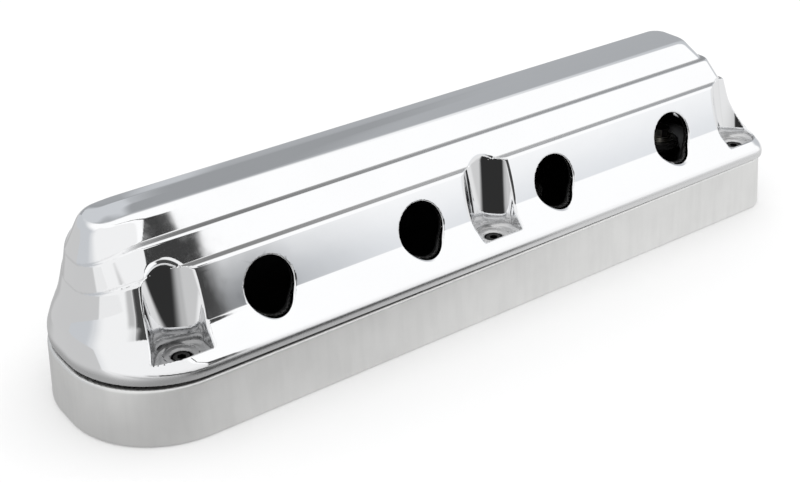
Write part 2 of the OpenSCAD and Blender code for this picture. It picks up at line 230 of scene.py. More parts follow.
def dimmed(colour: Colour, share: float) -> Colour:
    """A share of a colour, as opaque as before."""
    return tuple(share * c for c in colour[:3]) + (1.0,)


# Painted shade: the near-black that the cover's cavity and the base's deck and oil space get, standing in for
# the darkness inside; it is not the metal's own colour.
SHADE_INSIDE = grey(0.035)


@dataclass(frozen=True)
class Finish:
    """A surface finish. Subclasses vary its colour, roughness and relief.

    Attributes:
        name: The material's name.
        colour: Colour of the clean surface, linear.
        metallic: 1 for metal, 0 for rubber.
        roughness: Mean roughness.
        relief: Height of the bump in metres.
    """

    name: str
    colour: Colour
    metallic: float
    roughness: float
    relief: float

    def shade(self, board: NodeBoard, where: Wire) -> tuple[Any, Any, Optional[Wire]]:
        """Colour, roughness and height over the surface. Subclasses give each finish its own.

        Args:
            board: The tree to build in.
            where: Coordinates in millimetres.

        Returns:
            Colour, roughness, and a height between 0 and 1, or None for no relief.
        """
        return self.colour, self.roughness, None

    def material(self) -> bpy.types.Material:
        """Build the material once.

        Returns:
            The material, the same one at each call.
        """
        known = bpy.data.materials.get(self.name)
        if known is not None and known.use_nodes and known.get("finish"):
            return known
        made = bpy.data.materials.new(self.name)
        made.use_nodes = True
        made["finish"] = True
        made.node_tree.nodes.clear()
        board = NodeBoard(made.node_tree)
        colour, roughness, height = self.shade(board, board.millimetres())
        inputs = {"Base Color": colour, "Roughness": roughness, "Metallic": self.metallic}
        if height is not None:
            bump = {"Height": height, "Distance": self.relief, "Strength": 1.0}
            inputs["Normal"] = board.node("ShaderNodeBump", None, bump)
        surface = board.node("ShaderNodeBsdfPrincipled", None, inputs)
        board.node("ShaderNodeOutputMaterial", None, {"Surface": surface})
        return made


@dataclass(frozen=True)
class MirrorPolish(Finish):
    """Cast aluminium buffed to a mirror, with the faint waves and haze that hand buffing leaves.

    A mark on the inner corners and pocket floors that the buffing wheel cannot reach, and along the lower
    edge, makes them rougher and paints shade on them as a darker grey, darker still towards the nose.
    """

    haze: float = 0.03
    drift_size: float = 38.0
    drift_share: float = 0.965
    buffing_size: float = 7.0
    wave_size: float = 11.0
    # Painted shade: the dull places get these greys, the first at the nose and the second towards the tail,
    # along this run of X.
    shade_run: tuple[float, float] = (-190.0, 60.0)
    shade_tones: tuple[float, float] = (0.20, 0.56)
    dull_roughness: float = 0.26
    cast_roughness: float = 0.5

    def shade(self, board: NodeBoard, where: Wire) -> tuple[Any, Any, Optional[Wire]]:
        """Slight colour drift, haze in patches, painted shade in the dull places and near-black painted shade
        inside, and a long-waved relief, as Finish.shade gives them.
        """
        inside = board.mark(HIDDEN)
        dull_and_shade = board.mark(DULL_AND_SHADE)
        run = board.axes(where)[0].ramped(*self.shade_run)
        drift = board.noise(where, self.drift_size)
        polished = board.mix(drift, self.colour, dimmed(self.colour, self.drift_share))
        # Painted shade: the dull places take a darker grey in place of the polish.
        polished = board.mix(dull_and_shade, polished, board.mix(run, *[grey(tone) for tone in self.shade_tones]))
        patches = board.noise(where, self.buffing_size, 3.0).ramped(0.45, 0.8)
        roughness = self.roughness + self.haze * patches + dull_and_shade.ramped(0.0, 0.6) * self.dull_roughness
        roughness = roughness + inside * self.cast_roughness
        # Painted shade: the cavity is near-black.
        return board.mix(inside, polished, SHADE_INSIDE), roughness, board.noise(where, self.wave_size, 1.0)


@dataclass(frozen=True)
class SatinCasting(Finish):
    """Cast aluminium with a machined and tumbled face: fine grain, and soft clouds in its tone."""

    grain: float = 0.5
    cloud_size: float = 26.0
    cloud_share: float = 0.6
    streak_size: float = 4.5
    streak_stretch: tuple[float, float, float] = (1.0, 1.0, 0.12)
    darkest: float = 0.91
    grain_swing: float = 0.12
    streak_swing: float = 0.08

    def shade(self, board: NodeBoard, where: Wire) -> tuple[Any, Any, Optional[Wire]]:
        """Cloudy colour, near-black painted shade on the deck and in the oil space, grain in the roughness
        and a fine relief, as Finish.shade gives them.
        """
        clouds = board.noise(where, self.cloud_size, 3.0).ramped(0.3, 0.75)
        fine = board.noise(where, self.grain)
        stretch = {0: where, 1: self.streak_stretch}
        drawn_out = board.node("ShaderNodeVectorMath", {"operation": "MULTIPLY"}, stretch)
        streaks = board.noise(drawn_out, self.streak_size)
        dark = clouds * self.cloud_share + streaks.ramped(0.35, 0.75) * (1 - self.cloud_share)
        tumbled = board.mix(dark, self.colour, dimmed(self.colour, self.darkest))
        roughness = self.roughness + self.grain_swing * (fine - 0.5) + self.streak_swing * (streaks - 0.5)
        # Painted shade: the deck and oil space are near-black.
        return board.mix(board.mark(HIDDEN), tumbled, SHADE_INSIDE), roughness, fine


@dataclass(frozen=True)
class MouldedRubber(Finish):
    """Black moulded rubber with a slightly dusty, uneven skin."""

    dust: Colour = grey(0.06)
    dust_size: float = 9.0
    dust_swing: float = 0.1
    skin_size: float = 0.7

    def shade(self, board: NodeBoard, where: Wire) -> tuple[Any, Any, Optional[Wire]]:
        """Dusty patches and a fine skin, as Finish.shade gives them."""
        dusty = board.noise(where, self.dust_size, 3.0)
        roughness = self.roughness + self.dust_swing * (dusty - 0.5)
        return board.mix(dusty, self.colour, self.dust), roughness, board.noise(where, self.skin_size)


@dataclass(frozen=True)
class TurnedSteel(Finish):
    """Steel with fine rings or plating, and a thin tint that comes and goes."""

    tint: Colour = grey(0.5)
    patch_size: float = 3.0
    patch_swing: float = 0.12
    ring_rate: float = 1.6
    ring_wobble: float = 0.6

    def shade(self, board: NodeBoard, where: Wire) -> tuple[Any, Any, Optional[Wire]]:
        """Tinted patches and fine turning marks across Z, as Finish.shade gives them."""
        patch = board.noise(where, self.patch_size)
        inputs = {"Vector": where, "Scale": self.ring_rate, "Distortion": self.ring_wobble}
        marks = board.node("ShaderNodeTexWave", {"bands_direction": "Z"}, inputs, 1)
        roughness = self.roughness + self.patch_swing * (patch - 0.5)
        return board.mix(patch, self.colour, self.tint), roughness, marks


MIRROR = MirrorPolish("mirror_polished_aluminium", grey(0.92, (0.99, 0.995, 1.005)), 1.0, 0.03, 0.000009)
SATIN = SatinCasting("satin_cast_aluminium", grey(0.85, (1.0, 1.0, 0.99)), 1.0, 0.42, 0.00004)
RUBBER = MouldedRubber("moulded_black_rubber", grey(0.022), 0.0, 0.62, 0.00003)
PLATED = TurnedSteel("zinc_plated_steel", grey(0.60), 1.0, 0.34, 0.00001, (0.60, 0.58, 0.50, 1.0))
TURNED = TurnedSteel("turned_steel", grey(0.52), 1.0, 0.28, 0.00001, grey(0.44))
BLACKENED = TurnedSteel("blackened_steel", grey(0.035), 1.0, 0.36, 0.00001, grey(0.02))


def smooth_max(a: Size, b: Size, blend: float) -> Size:
    """Larger of two fields, with a fillet of some width in millimetres where they meet."""
    return np.maximum(a, b) + np.maximum(blend - np.abs(a - b), 0.0) ** 2 / (4.0 * blend)


def smooth_min(a: Size, b: Size, blend: float) -> Size:
    """Smaller of two fields, with a fillet where they meet."""
    return -smooth_max(-a, -b, blend)


def upright(away: np.ndarray, radius: float, z: np.ndarray, foot: float, top: float) -> np.ndarray:
    """Field of an upright solid of some radius between two heights, by the distance from its middle."""
    return np.maximum(away - radius, np.maximum(foot - z, z - top))


def nearest(values: np.ndarray, places: Sequence[float]) -> np.ndarray:
    """Signed distance of each value from the closest of some places."""
    middles = [(a + b) / 2 for a, b in zip(places, places[1:])]
    return values - np.asarray(places)[np.searchsorted(middles, values)]


def rounded_plan(
    x: np.ndarray, side: np.ndarray, half: Size, nose: Size, tail: Size, nose_r: Size, tail_r: Size
) -> np.ndarray:
    """Signed distance from an outline with large corners at the nose and small ones at the tail.

    Args:
        x: Place along the part.
        side: Distance from the centre line.
        half: Half width of the outline.
        nose: Its left end.
        tail: Its right end.
        nose_r: Radius of the nose's corners.
        tail_r: Radius of the tail's corners.

    Returns:
        The distance, negative inside.
    """
    ahead = x > 0
    radius = np.where(ahead, tail_r, nose_r)
    along = np.where(ahead, x - tail, nose - x) + radius
    across = side - half + radius
    outside = np.hypot(np.maximum(along, 0.0), np.maximum(across, 0.0))
    return outside + np.minimum(np.maximum(along, across), 0.0) - radius


@dataclass(frozen=True)
class Station:
    """One corner of a casting's section.

    Attributes:
        z: Height on the straight sides.
        half: Half width.
        nose: Left end.
        tail: Right end.
        tail_r: Radius of the corners at the right end.
        ease: Length over which the corner is eased into its neighbours.
        dip: Share of the nose's dip that this level takes.
    """

    z: float
    half: float
    nose: float
    tail: float
    tail_r: float
    ease: float = 0.0
    dip: float = 0.0

    def row(self) -> np.ndarray:
        """The values that vary along the section, in the order of Column."""
        return np.array([self.z, self.half, self.nose, self.tail, self.tail_r, self.dip])

    def inset(
        self, wall: float, down: float, tail_r: float, ease: float = 0.0, dip: float = 0.0
    ) -> "Station":
        """The corner of an inner skin that belongs to this one, a wall further in and some way down."""
        return Station(self.z - down, self.half - wall, self.nose + wall, self.tail - wall, tail_r, ease, dip)


class Skin:
    """A closed skin through stations, as a field."""

    STEPS = 24
    ROUNDS = 6
    FIRST_SHARE = 0.95
    SHARE = 0.45
    LEAST_LEAN = 0.5
    TOP_EDGE = 0.6
    TURN_LENGTH = 27.0
    CALM = 3.0

    def __init__(self, stations: Sequence[Station], nose_share: float, nose_dip: float) -> None:
        """Ease the corners and table the section by height.

        Args:
            stations: The corners from the bottom up.
            nose_share: Share of the half width that is rounded at the nose.
            nose_dip: How far the levels dip at the tip of the nose.
        """
        rows = [s.row() for s in stations]
        steps = np.linspace(0.0, 1.0, self.STEPS)[:, None]
        table = [rows[0][None]]
        most = self.FIRST_SHARE
        for before, here, after, station in zip(rows, rows[1:], rows[2:], stations[1:]):
            down, up = before - here, after - here
            start = here + down * min(station.ease / np.hypot(*down[:2]), most)
            end = here + up * min(station.ease / np.hypot(*up[:2]), self.SHARE)
            table.append((1 - steps) ** 2 * start + 2 * steps * (1 - steps) * here + steps**2 * end)
            most = self.SHARE
        self.table = np.concatenate(table + [rows[-1][None]])
        halves = self.table[:, Column.HALF]
        heights = np.maximum.accumulate(self.table[:, Column.HEIGHT] + TINY * np.arange(len(self.table)))
        self.lean = np.maximum(1.0 / np.sqrt(1.0 + np.gradient(halves, heights) ** 2), self.LEAST_LEAN)
        self.nose_share = nose_share
        self.nose_dip = nose_dip
        turns = np.maximum(nose_share * halves, self.TURN_LENGTH)
        self.turn_end = float((self.table[:, Column.NOSE] + turns).max())
        self.top = float(self.table[-1, Column.HEIGHT])

    def at(self, z: Size, column: Column) -> Size:
        """One value of the section at some heights."""
        return np.interp(z, self.table[:, Column.HEIGHT], self.table[:, column])

    def level(self, x: np.ndarray, z: np.ndarray) -> np.ndarray:
        """Undo the nose's dip.

        Args:
            x: Place along the part.
            z: Height.

        Returns:
            Height on the straight sides of the level that passes each point.
        """
        level = z + 0.0 * x
        near = x < self.turn_end
        there, height = x[near], level[near]
        lifted = height
        for _ in range(self.ROUNDS):
            calm = np.minimum(lifted, self.top - self.CALM)
            length = np.maximum(self.nose_share * self.at(calm, Column.HALF), self.TURN_LENGTH)
            turn = np.clip((self.at(calm, Column.NOSE) + length - there) / length, 0.0, 1.0)
            lifted = height + self.nose_dip * self.at(lifted, Column.DIP) * turn**2
        level[near] = lifted
        return level

    def field(self, x: np.ndarray, side: np.ndarray, z: np.ndarray) -> np.ndarray:
        """Rough signed distance from the skin, exact where it is zero.

        Args:
            x: Place along the part.
            side: Distance from the centre line.
            z: Height.

        Returns:
            The distance, negative inside.
        """
        level = self.level(x, z)
        half, nose, tail, tail_r = (self.at(level, column) for column in OUTLINE)
        flat = rounded_plan(x, side, half, nose, tail, self.nose_share * half, tail_r)
        slanted = flat * np.interp(level, self.table[:, Column.HEIGHT], self.lean)
        return smooth_max(slanted, level - self.top, self.TOP_EDGE)


@dataclass
class Grid:
    """A box of grid lines that stand closer together where the form needs it.

    Attributes:
        lines: The places of the lines along X, Y and Z.
    """

    SLAB = 40
    STEP_OVER = 1e-6

    lines: tuple[np.ndarray, np.ndarray, np.ndarray]

    @staticmethod
    def around(places: Iterable[float], reach: float, step: float) -> list[Span]:
        """Stretches of lines round some places, with one spacing."""
        return [(place - reach, place + reach, step) for place in places]

    @staticmethod
    def mirrored(spans: Iterable[Span]) -> list[Span]:
        """The same stretches on the other side of zero."""
        return [(-end, -start, step) for start, end, step in spans]

    @staticmethod
    def spaced(low: float, high: float, step: float, spans: Sequence[Span]) -> np.ndarray:
        """Grid lines between two ends.

        Args:
            low: First line.
            high: Last line.
            step: Usual spacing.
            spans: Start, end and spacing of the stretches that differ. The first that holds a line counts.

        Returns:
            The places of the lines.
        """
        lines = [low]
        while lines[-1] < high:
            here = lines[-1] + Grid.STEP_OVER
            wanted = next((s for a, b, s in spans if a <= here < b), step)
            ends = [a for a, _, s in spans if a > here and s < wanted]
            lines.append(min([here + wanted] + ends))
        return np.array(lines)

    def surface(self, form: Field) -> tuple[np.ndarray, np.ndarray]:
        """Quads through every cell that the form's surface crosses.

        Args:
            form: The field.

        Returns:
            Vertices and faces of four corners each.
        """
        xs, ys, zs = self.lines
        values = np.empty((len(xs), len(ys), len(zs)))
        for start in range(0, len(xs), self.SLAB):
            part = np.meshgrid(xs[start:start + self.SLAB], ys, zs, indexing="ij")
            values[start:start + self.SLAB] = form(*part)
        inside = values < 0
        cells = np.zeros([n - 1 for n in values.shape], np.int8)
        for i, j, k in np.ndindex(2, 2, 2):
            cells += inside[i:len(xs) - 1 + i, j:len(ys) - 1 + j, k:len(zs) - 1 + k]
        crossed = (cells > 0) & (cells < 8)
        number = np.full(crossed.shape, -1)
        number[crossed] = np.arange(crossed.sum())
        total = np.zeros((crossed.sum(), 3))
        count = np.zeros(crossed.sum())
        quads = []
        for axis in range(3):
            near = tuple(slice(0, -1) if a == axis else slice(None) for a in range(3))
            far = tuple(slice(1, None) if a == axis else slice(None) for a in range(3))
            edges = np.argwhere(inside[near] != inside[far])
            first = values[near][tuple(edges.T)]
            second = values[far][tuple(edges.T)]
            points = np.stack([self.lines[a][edges[:, a]] for a in range(3)], 1)
            step = np.diff(self.lines[axis])[edges[:, axis]]
            points[:, axis] += step * first / (first - second)
            others = [a for a in range(3) if a != axis]
            corner = []
            for u, v in ((0, 0), (1, 0), (1, 1), (0, 1)):
                cell = edges.copy()
                cell[:, others[0]] -= u
                cell[:, others[1]] -= v
                ids = number[tuple(cell.T)]
                corner.append(ids)
                count += np.bincount(ids, minlength=len(count))
                for a in range(3):
                    total[:, a] += np.bincount(ids, points[:, a], minlength=len(count))
            quad = np.stack(corner, 1)
            leaving = (first < 0) ^ (axis == 1)
            quad[~leaving] = quad[~leaving][:, ::-1]
            quads.append(quad)
        return total / count[:, None], np.concatenate(quads)


class Casting:
    """A solid that is given by a field. Subclasses hold the sizes and the form."""

    name = "casting"
    SHARPNESS = 0.03
    LONGEST_MOVE = 0.5
    LEAST_SLOPE = 1e-3
    MOST_TRIANGLES = 190000
    OPEN_SHARE = 0.35

    def form(self, x: np.ndarray, y: np.ndarray, z: np.ndarray) -> np.ndarray:
        """The solid's field, negative inside."""
        raise NotImplementedError

    def grid(self) -> Grid:
        """The grid that the solid is cut up on."""
        raise NotImplementedError

    def slope(self, points: np.ndarray) -> np.ndarray:
        """Gradient of the form, by central differences.

        Args:
            points: Where it is wanted.

        Returns:
            The gradient at each point.
        """
        parts = []
        for axis in range(3):
            shift = np.zeros(3)
            shift[axis] = self.SHARPNESS
            parts.append(self.form(*(points + shift).T) - self.form(*(points - shift).T))
        return np.stack(parts, 1) / (2 * self.SHARPNESS)

    def settled(self, points: np.ndarray, rounds: int = 4) -> np.ndarray:
        """Move points on to the surface.

        Args:
            points: Points near the surface.
            rounds: Number of steps.

        Returns:
            The moved points.
        """
        for _ in range(rounds):
            slope = self.slope(points)
            size = np.maximum((slope**2).sum(1), self.LEAST_SLOPE)
            move = -(self.form(*points.T) / size)[:, None] * slope
            length = np.linalg.norm(move, axis=1, keepdims=True)
            points = points + move * np.minimum(1.0, self.LONGEST_MOVE / np.maximum(length, TINY))
        return points

    def hidden(self, points: np.ndarray) -> np.ndarray:
        """How far each point lies in the dark inside of the part, which the finishes paint near-black as
        shade, from 0 to 1.
        """
        return np.zeros(len(points))

    def dull_and_shade(self, points: np.ndarray) -> np.ndarray:
        """How far each point is out of the buffing wheel's reach and painted with shade, from 0 to 1."""
        return np.zeros(len(points))

    def thinned(self, made: bpy.types.Mesh, inside: np.ndarray) -> bpy.types.Mesh:
        """Thin the flatter places, down to the number of triangles that a piece may have.

        Args:
            made: The mesh of four-cornered faces.
            inside: How far each vertex is hidden. Hidden places are thinned first.

        Returns:
            The thinned mesh.
        """
        holder = bpy.data.objects.new(self.name + "_full", made)
        bpy.context.scene.collection.objects.link(holder)
        group = holder.vertex_groups.new(name="thin")
        group.add(np.flatnonzero(inside <= 0.5).tolist(), self.OPEN_SHARE, "REPLACE")
        group.add(np.flatnonzero(inside > 0.5).tolist(), 1.0, "REPLACE")
        thinner = holder.modifiers.new("thin", "DECIMATE")
        thinner.ratio = min(1.0, self.MOST_TRIANGLES / (2 * len(made.polygons)))
        thinner.vertex_group = "thin"
        thinner.use_collapse_triangulate = True
        whole = holder.evaluated_get(bpy.context.evaluated_depsgraph_get())
        thin = bpy.data.meshes.new_from_object(whole)
        holder.modifiers.remove(thinner)
        bpy.data.objects.remove(holder)
        bpy.data.meshes.remove(made)
        thin.name = self.name
        return thin

    def mesh(self) -> bpy.types.Mesh:
        """Turn the solid into a mesh in metres.

        Returns:
            The mesh, with normals taken from the field and the marks that its finish reads.
        """
        points, quads = self.grid().surface(self.form)
        points = self.settled(points)
        made = bpy.data.meshes.new(self.name)
        made.vertices.add(len(points))
        made.vertices.foreach_set("co", (points * MM).astype(np.float32).ravel())
        made.loops.add(quads.size)
        made.loops.foreach_set("vertex_index", quads.astype(np.int32).ravel())
        made.polygons.add(len(quads))
        made.polygons.foreach_set("loop_start", np.arange(0, quads.size, 4, dtype=np.int32))
        made.update(calc_edges=True)
        made.validate()
        log.info("%s: %d faces before thinning", self.name, len(quads))
        if 2 * len(quads) > self.MOST_TRIANGLES:
            made = self.thinned(made, self.hidden(points))
        flat = np.empty(3 * len(made.vertices), np.float32)
        made.vertices.foreach_get("co", flat)
        points = self.settled(flat.reshape(-1, 3).astype(float) / MM, 2)
        made.vertices.foreach_set("co", (points * MM).astype(np.float32).ravel())
        made.update()
        made.polygons.foreach_set("use_smooth", np.ones(len(made.polygons), bool))
        for name, values in ((HIDDEN, self.hidden(points)), (DULL_AND_SHADE, self.dull_and_shade(points))):
            mark = made.attributes.new(name, "FLOAT", "POINT")
            mark.data.foreach_set("value", values.astype(np.float32))
        normals = self.slope(points)
        normals /= np.maximum(np.linalg.norm(normals, axis=1, keepdims=True), TINY)
        made.normals_split_custom_set_from_vertices(normals.astype(np.float32))
        return made

    def build(self, finish: Finish, slot: Slot, *nodes: str) -> bpy.types.Object:
        """Make the piece in place of its CAD nodes.

        Args:
            finish: Its surface finish.
            slot: Its slot in the record.
            nodes: The CAD nodes that it stands for.

        Returns:
            The piece.
        """
        piece = bpy.data.objects.new(self.name, self.mesh())
        piece.data.materials.append(finish.material())
        return add_piece(piece, slot, *nodes)


def add_piece(piece: bpy.types.Object, slot: Slot, *nodes: str) -> bpy.types.Object:
    """Link a finished piece, put it on its body and hide the CAD nodes that it replaces.

    Args:
        piece: The object.
        slot: Its slot in the record. Not used.
        nodes: The CAD nodes that it stands for.

    Returns:
        The piece.
    """
    bpy.context.scene.collection.objects.link(piece)
    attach(piece, BODY)
    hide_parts(*nodes)
    log.info("%s: %d faces", piece.name, len(piece.data.polygons))
    return piece


@dataclass
class Layout:
    """Places that the castings and fasteners share.

    Attributes:
        seam_z: Lower edge of the cover.
        floor_z: Floor of the screw pockets.
        post_z: Lower end of the cover's posts, which stand on the base's columns.
        shelf_z: Seat of the cover screws' heads.
        screw_side: Distance of the cover screws from the centre line.
        screw_x: Their places along the part.
        wire_x: Places of the wire holes and coils.
        bolt_x: Places of the head bolts.
        collar_top: Top of the collars round the head bolts.
    """

    seam_z: float = 33.1
    floor_z: float = 40.0
    post_z: float = 29.5
    shelf_z: float = 33.5
    screw_side: float = 40.7
    screw_x: tuple[float, ...] = (-177.0, 12.0, 201.0)
    wire_x: tuple[float, ...] = tuple(11.0 + 91.4 * (i - 1.5) for i in range(4))
    bolt_x: tuple[float, ...] = tuple(11.0 + 111.76 * (i - 1.5) for i in range(4))
    collar_top: float = 32.0

    def screws(self) -> list[tuple[float, float]]:
        """Centres of the six cover screws, outer side first."""
        return [(x, side.value * self.screw_side) for side in Side for x in self.screw_x]


@dataclass(frozen=True)
class DullShadeReach:
    """Where the buffing wheel can't get at the cover, which is duller there and painted with shade as a
    darker colour.

    Attributes:
        skin: Distance from the skin up to which a ledge counts.
        under_ledge: Height below a ledge that is dull and shaded.
        over_ledge: Height above it that is dull and shaded.
        nose_from: Place along X up to which the ledges are nearly clean.
        nose_fade: Length over which they get duller from there.
        nose_share: Their dullness at the nose.
        edge_z: Height under which the lower edge gets duller.
        edge_fade: Height over which it does so.
        edge_share: Its greatest dullness.
        foot_skin: Distance from a pocket's wall up to which its foot counts.
        foot_rise: Height above the pocket's floor that is dull throughout.
        foot_fade: Height over which the pocket's wall gets cleaner from there.
        foot_share: Dullness of the foot.
    """

    skin: float = 0.25
    under_ledge: float = 0.1
    over_ledge: float = 0.45
    nose_from: float = -192.0
    nose_fade: float = 14.0
    nose_share: float = 0.12
    edge_z: float = 39.5
    edge_fade: float = 3.0
    edge_share: float = 0.5
    foot_skin: float = 0.7
    foot_rise: float = 0.8
    foot_fade: float = 3.0
    foot_share: float = 0.8


@dataclass
class PolishedCover(Casting):
    """The tall cover: three tiers, a fold over the skirt, wire holes and screw pockets.

    The fields named blend, corner or edge are the widths of fillets. The notch is given by its middle and
    half width along Y and its height over the seam.
    """

    layout: Layout = field(default_factory=Layout)
    name: str = "polished_cover"
    wall: float = 4.0
    inner_foot: float = 1.0
    inner_drop: float = 0.6
    inner_ease: float = 2.0
    inner_r: float = 1.0
    cavity_blend: float = 2.0
    lip_edge: float = 0.8
    nose_share: float = 0.9
    nose_dip: float = 8.5
    wire_r: float = 13.7
    wire_z: float = 58.0
    wire_edge: float = 0.9
    front_y: float = -12.0
    pocket_half: float = 12.4
    pocket_depth: float = 8.0
    pocket_draft: float = 0.17
    back_draft: float = 0.12
    pocket_corner: float = 1.2
    pocket_foot: float = 1.6
    pocket_edge: float = 1.0
    sill_z: float = 43.6
    nose_flare: float = 0.0047
    flare_side: float = 36.0
    spot_r: float = 8.4
    spot_z: float = 39.5
    spot_top: float = 42.0
    bore_r: float = 4.95
    bevel: float = 0.9
    widest_bevel: float = 2.0
    seat_edge: float = 0.35
    post_r: float = 8.0
    post_sink: float = 1.0
    post_blend: float = 1.2
    shank_r: float = 2.8
    notch: tuple[float, float, float] = (12.0, 10.0, 8.0)
    notch_from: float = 205.0
    notch_edge: float = 0.8
    inside_from: float = 0.55
    pocket_skin: float = 0.6
    reach: DullShadeReach = DullShadeReach()
    ledges: tuple[tuple[int, int], ...] = ((4, 5), (6, 7))
    stations: tuple[Station, ...] = (
        Station(33.1, 55.5, -219.3, 217.1, 12.0),
        Station(38.4, 55.8, -219.6, 217.4, 12.0, 3.8),
        Station(50.6, 41.0, -218.1, 213.1, 12.0, 2.6, 0.15),
        Station(63.0, 37.2, -213.5, 205.8, 10.0, 5.0, 0.55),
        Station(78.2, 32.5, -210.5, 201.7, 7.0, 1.4, 1.0),
        Station(78.5, 29.5, -210.5, 199.8, 6.5, 0.9, 1.0),
        Station(91.3, 23.5, -208.5, 193.5, 6.0, 1.4, 1.0),
        Station(91.6, 20.5, -208.5, 191.0, 5.5, 0.9, 1.0),
        Station(102.5, 13.2, -201.3, 184.0, 8.0, 3.0, 0.3),
        Station(103.5, 4.2, -192.3, 175.0, 4.0, 0.0, 0.3),
    )

    def __post_init__(self) -> None:
        """Make the outer skin, and the inner one a wall's thickness inside it."""
        inner = []
        for i, s in enumerate(self.stations[:-2]):
            down = self.inner_foot if i == 0 else self.inner_drop * self.wall
            tail_r = max(s.tail_r - self.wall, self.inner_r)
            inner.append(s.inset(self.wall, down, tail_r, self.inner_ease, s.dip))
        inner.append(self.stations[-2].inset(self.wall, self.wall, self.inner_r))
        self.outer = Skin(self.stations, self.nose_share, self.nose_dip)
        self.inner = Skin(inner, self.nose_share, self.nose_dip)

    def pocket(self, x: np.ndarray, side: np.ndarray, z: np.ndarray, grow: float, floor: float) -> np.ndarray:
        """Field of the screw pockets, or of the bodies round them.

        Args:
            x: Place along the part.
            side: Distance from the centre line.
            z: Height.
            grow: Thickness added round the pocket.
            floor: Height of the floor.

        Returns:
            The field, negative in the pocket.
        """
        along = nearest(x, self.layout.screw_x)
        flared = (along < 0) & (x < self.layout.screw_x[0])
        flare = 1.0 + np.where(flared, self.nose_flare * np.maximum(side - self.flare_side, 0.0) ** 2, 0.0)
        reach = (self.pocket_half + grow + (z - self.layout.floor_z) * self.pocket_draft) * flare
        depth = self.pocket_depth + grow + (z - self.layout.floor_z) * self.back_draft
        inwards = np.maximum(self.layout.screw_side - side, 0.0)
        walls = (np.hypot(along / reach, inwards / depth) - 1.0) * depth
        half, nose, tail, tail_r = (self.outer.at(self.sill_z, column) for column in OUTLINE)
        front = rounded_plan(x, side, half, nose, tail, self.nose_share * half, tail_r) - grow
        return smooth_max(smooth_max(walls, front, self.pocket_corner), floor - z, self.pocket_foot)

    def seats(self, away: np.ndarray, z: np.ndarray) -> np.ndarray:
        """Field of the spot faces, counterbores and clearance holes.

        Args:
            away: Distance from the axis of the nearest screw.
            z: Height.

        Returns:
            The field, negative in the openings.
        """
        spot = upright(away, self.spot_r, z, self.spot_z, self.spot_top)
        bevel = np.minimum(np.maximum(z - self.spot_z + self.bevel, 0.0), self.widest_bevel)
        bore = np.maximum(away - self.bore_r - bevel, self.layout.shelf_z - z)
        return np.minimum(np.minimum(spot, bore), away - self.shank_r)

    def form(self, x: np.ndarray, y: np.ndarray, z: np.ndarray) -> np.ndarray:
        """Skin less cavity, pockets, seats, wire holes and harness notch, as Casting.form gives it."""
        side = np.abs(y)
        at = self.layout
        pocket = self.pocket(x, side, z, 0.0, at.floor_z)
        body = self.pocket(x, side, z, self.wall, at.floor_z - self.wall)
        cavity = smooth_max(self.inner.field(x, side, z), -body, self.cavity_blend)
        outer = smooth_max(self.outer.field(x, side, z), at.seam_z - z, self.lip_edge)
        away = np.hypot(nearest(x, at.screw_x), side - at.screw_side)
        post = upright(away, self.post_r, z, at.post_z, at.floor_z - self.post_sink)
        solid = smooth_min(smooth_max(outer, -cavity, self.lip_edge), post, self.post_blend)
        solid = smooth_max(solid, -pocket, self.pocket_edge)
        solid = smooth_max(solid, -self.seats(away, z), self.seat_edge)
        hole = np.hypot(nearest(x, at.wire_x), z - self.wire_z) - self.wire_r
        solid = smooth_max(solid, -np.maximum(hole, y - self.front_y), self.wire_edge)
        middle, half, height = self.notch
        opening = np.maximum(np.abs(y - middle) - half, z - at.seam_z - height)
        return smooth_max(solid, -np.maximum(opening, self.notch_from - x), self.notch_edge)

    def hidden(self, points: np.ndarray) -> np.ndarray:
        """One on the skin of the cavity and below the seam, nought outside."""
        x, y, z = points.T
        deep = self.outer.field(x, np.abs(y), z) < -self.inside_from * self.wall
        open_sky = self.pocket(x, np.abs(y), z, self.pocket_skin, self.layout.shelf_z) < 0.0
        return (deep & ~open_sky).astype(float)

    def dull_and_shade(self, points: np.ndarray) -> np.ndarray:
        """Near one in the corners of the ledges and at the foot of the pockets, less along the lower edge;
        there the polish is duller and shade is painted.

        Args:
            points: Points on the cover.

        Returns:
            How dull and shaded each is, from 0 to 1.
        """
        x, y, z = points.T
        side = np.abs(y)
        reach = self.reach
        level = self.outer.level(x, z)
        ledge = np.zeros(len(points), bool)
        for low, high in self.ledges:
            over = level > self.stations[low].z - reach.under_ledge
            ledge |= over & (level < self.stations[high].z + reach.over_ledge)
        ledge &= np.abs(self.outer.field(x, side, z)) < reach.skin
        along = np.clip((x - reach.nose_from) / reach.nose_fade, reach.nose_share, 1.0)
        edge = reach.edge_share * np.clip((reach.edge_z - z) / reach.edge_fade, 0.0, 1.0)
        foot = self.pocket(x, side, z, reach.foot_skin, self.layout.shelf_z) < 0.0
        rise = z - self.layout.floor_z - reach.foot_rise
        fade = np.clip(1.0 - rise / reach.foot_fade, 0.0, 1.0)
        return np.maximum(np.maximum(ledge * along, edge), reach.foot_share * foot * fade)

    def grid(self) -> Grid:
        """Put lines close together round the nose, tail, pockets, holes and ledges.

        Returns:
            The grid.
        """
        along = [(-224.0, -160.0, 0.9)]
        along += Grid.around(self.layout.screw_x, reach=20.5, step=0.9)
        along += Grid.around(self.layout.wire_x, reach=15.0, step=0.85)
        tiers = Grid.around([s.half for s in self.stations[4:9]], reach=1.6, step=0.55)
        across = [(-44.5, -34.8, 0.7)] + tiers + Grid.mirrored(tiers)
        up = [(32.4, 34.5, 0.6), (69.0, 79.8, 0.55), (82.2, 92.8, 0.55), (100.5, 104.6, 0.5)]
        return Grid((
            Grid.spaced(low=-222.0, high=219.5, step=4.0, spans=along),
            Grid.spaced(low=-57.5, high=57.5, step=1.05, spans=across),
            Grid.spaced(low=28.5, high=105.5, step=0.95, spans=up),
        ))


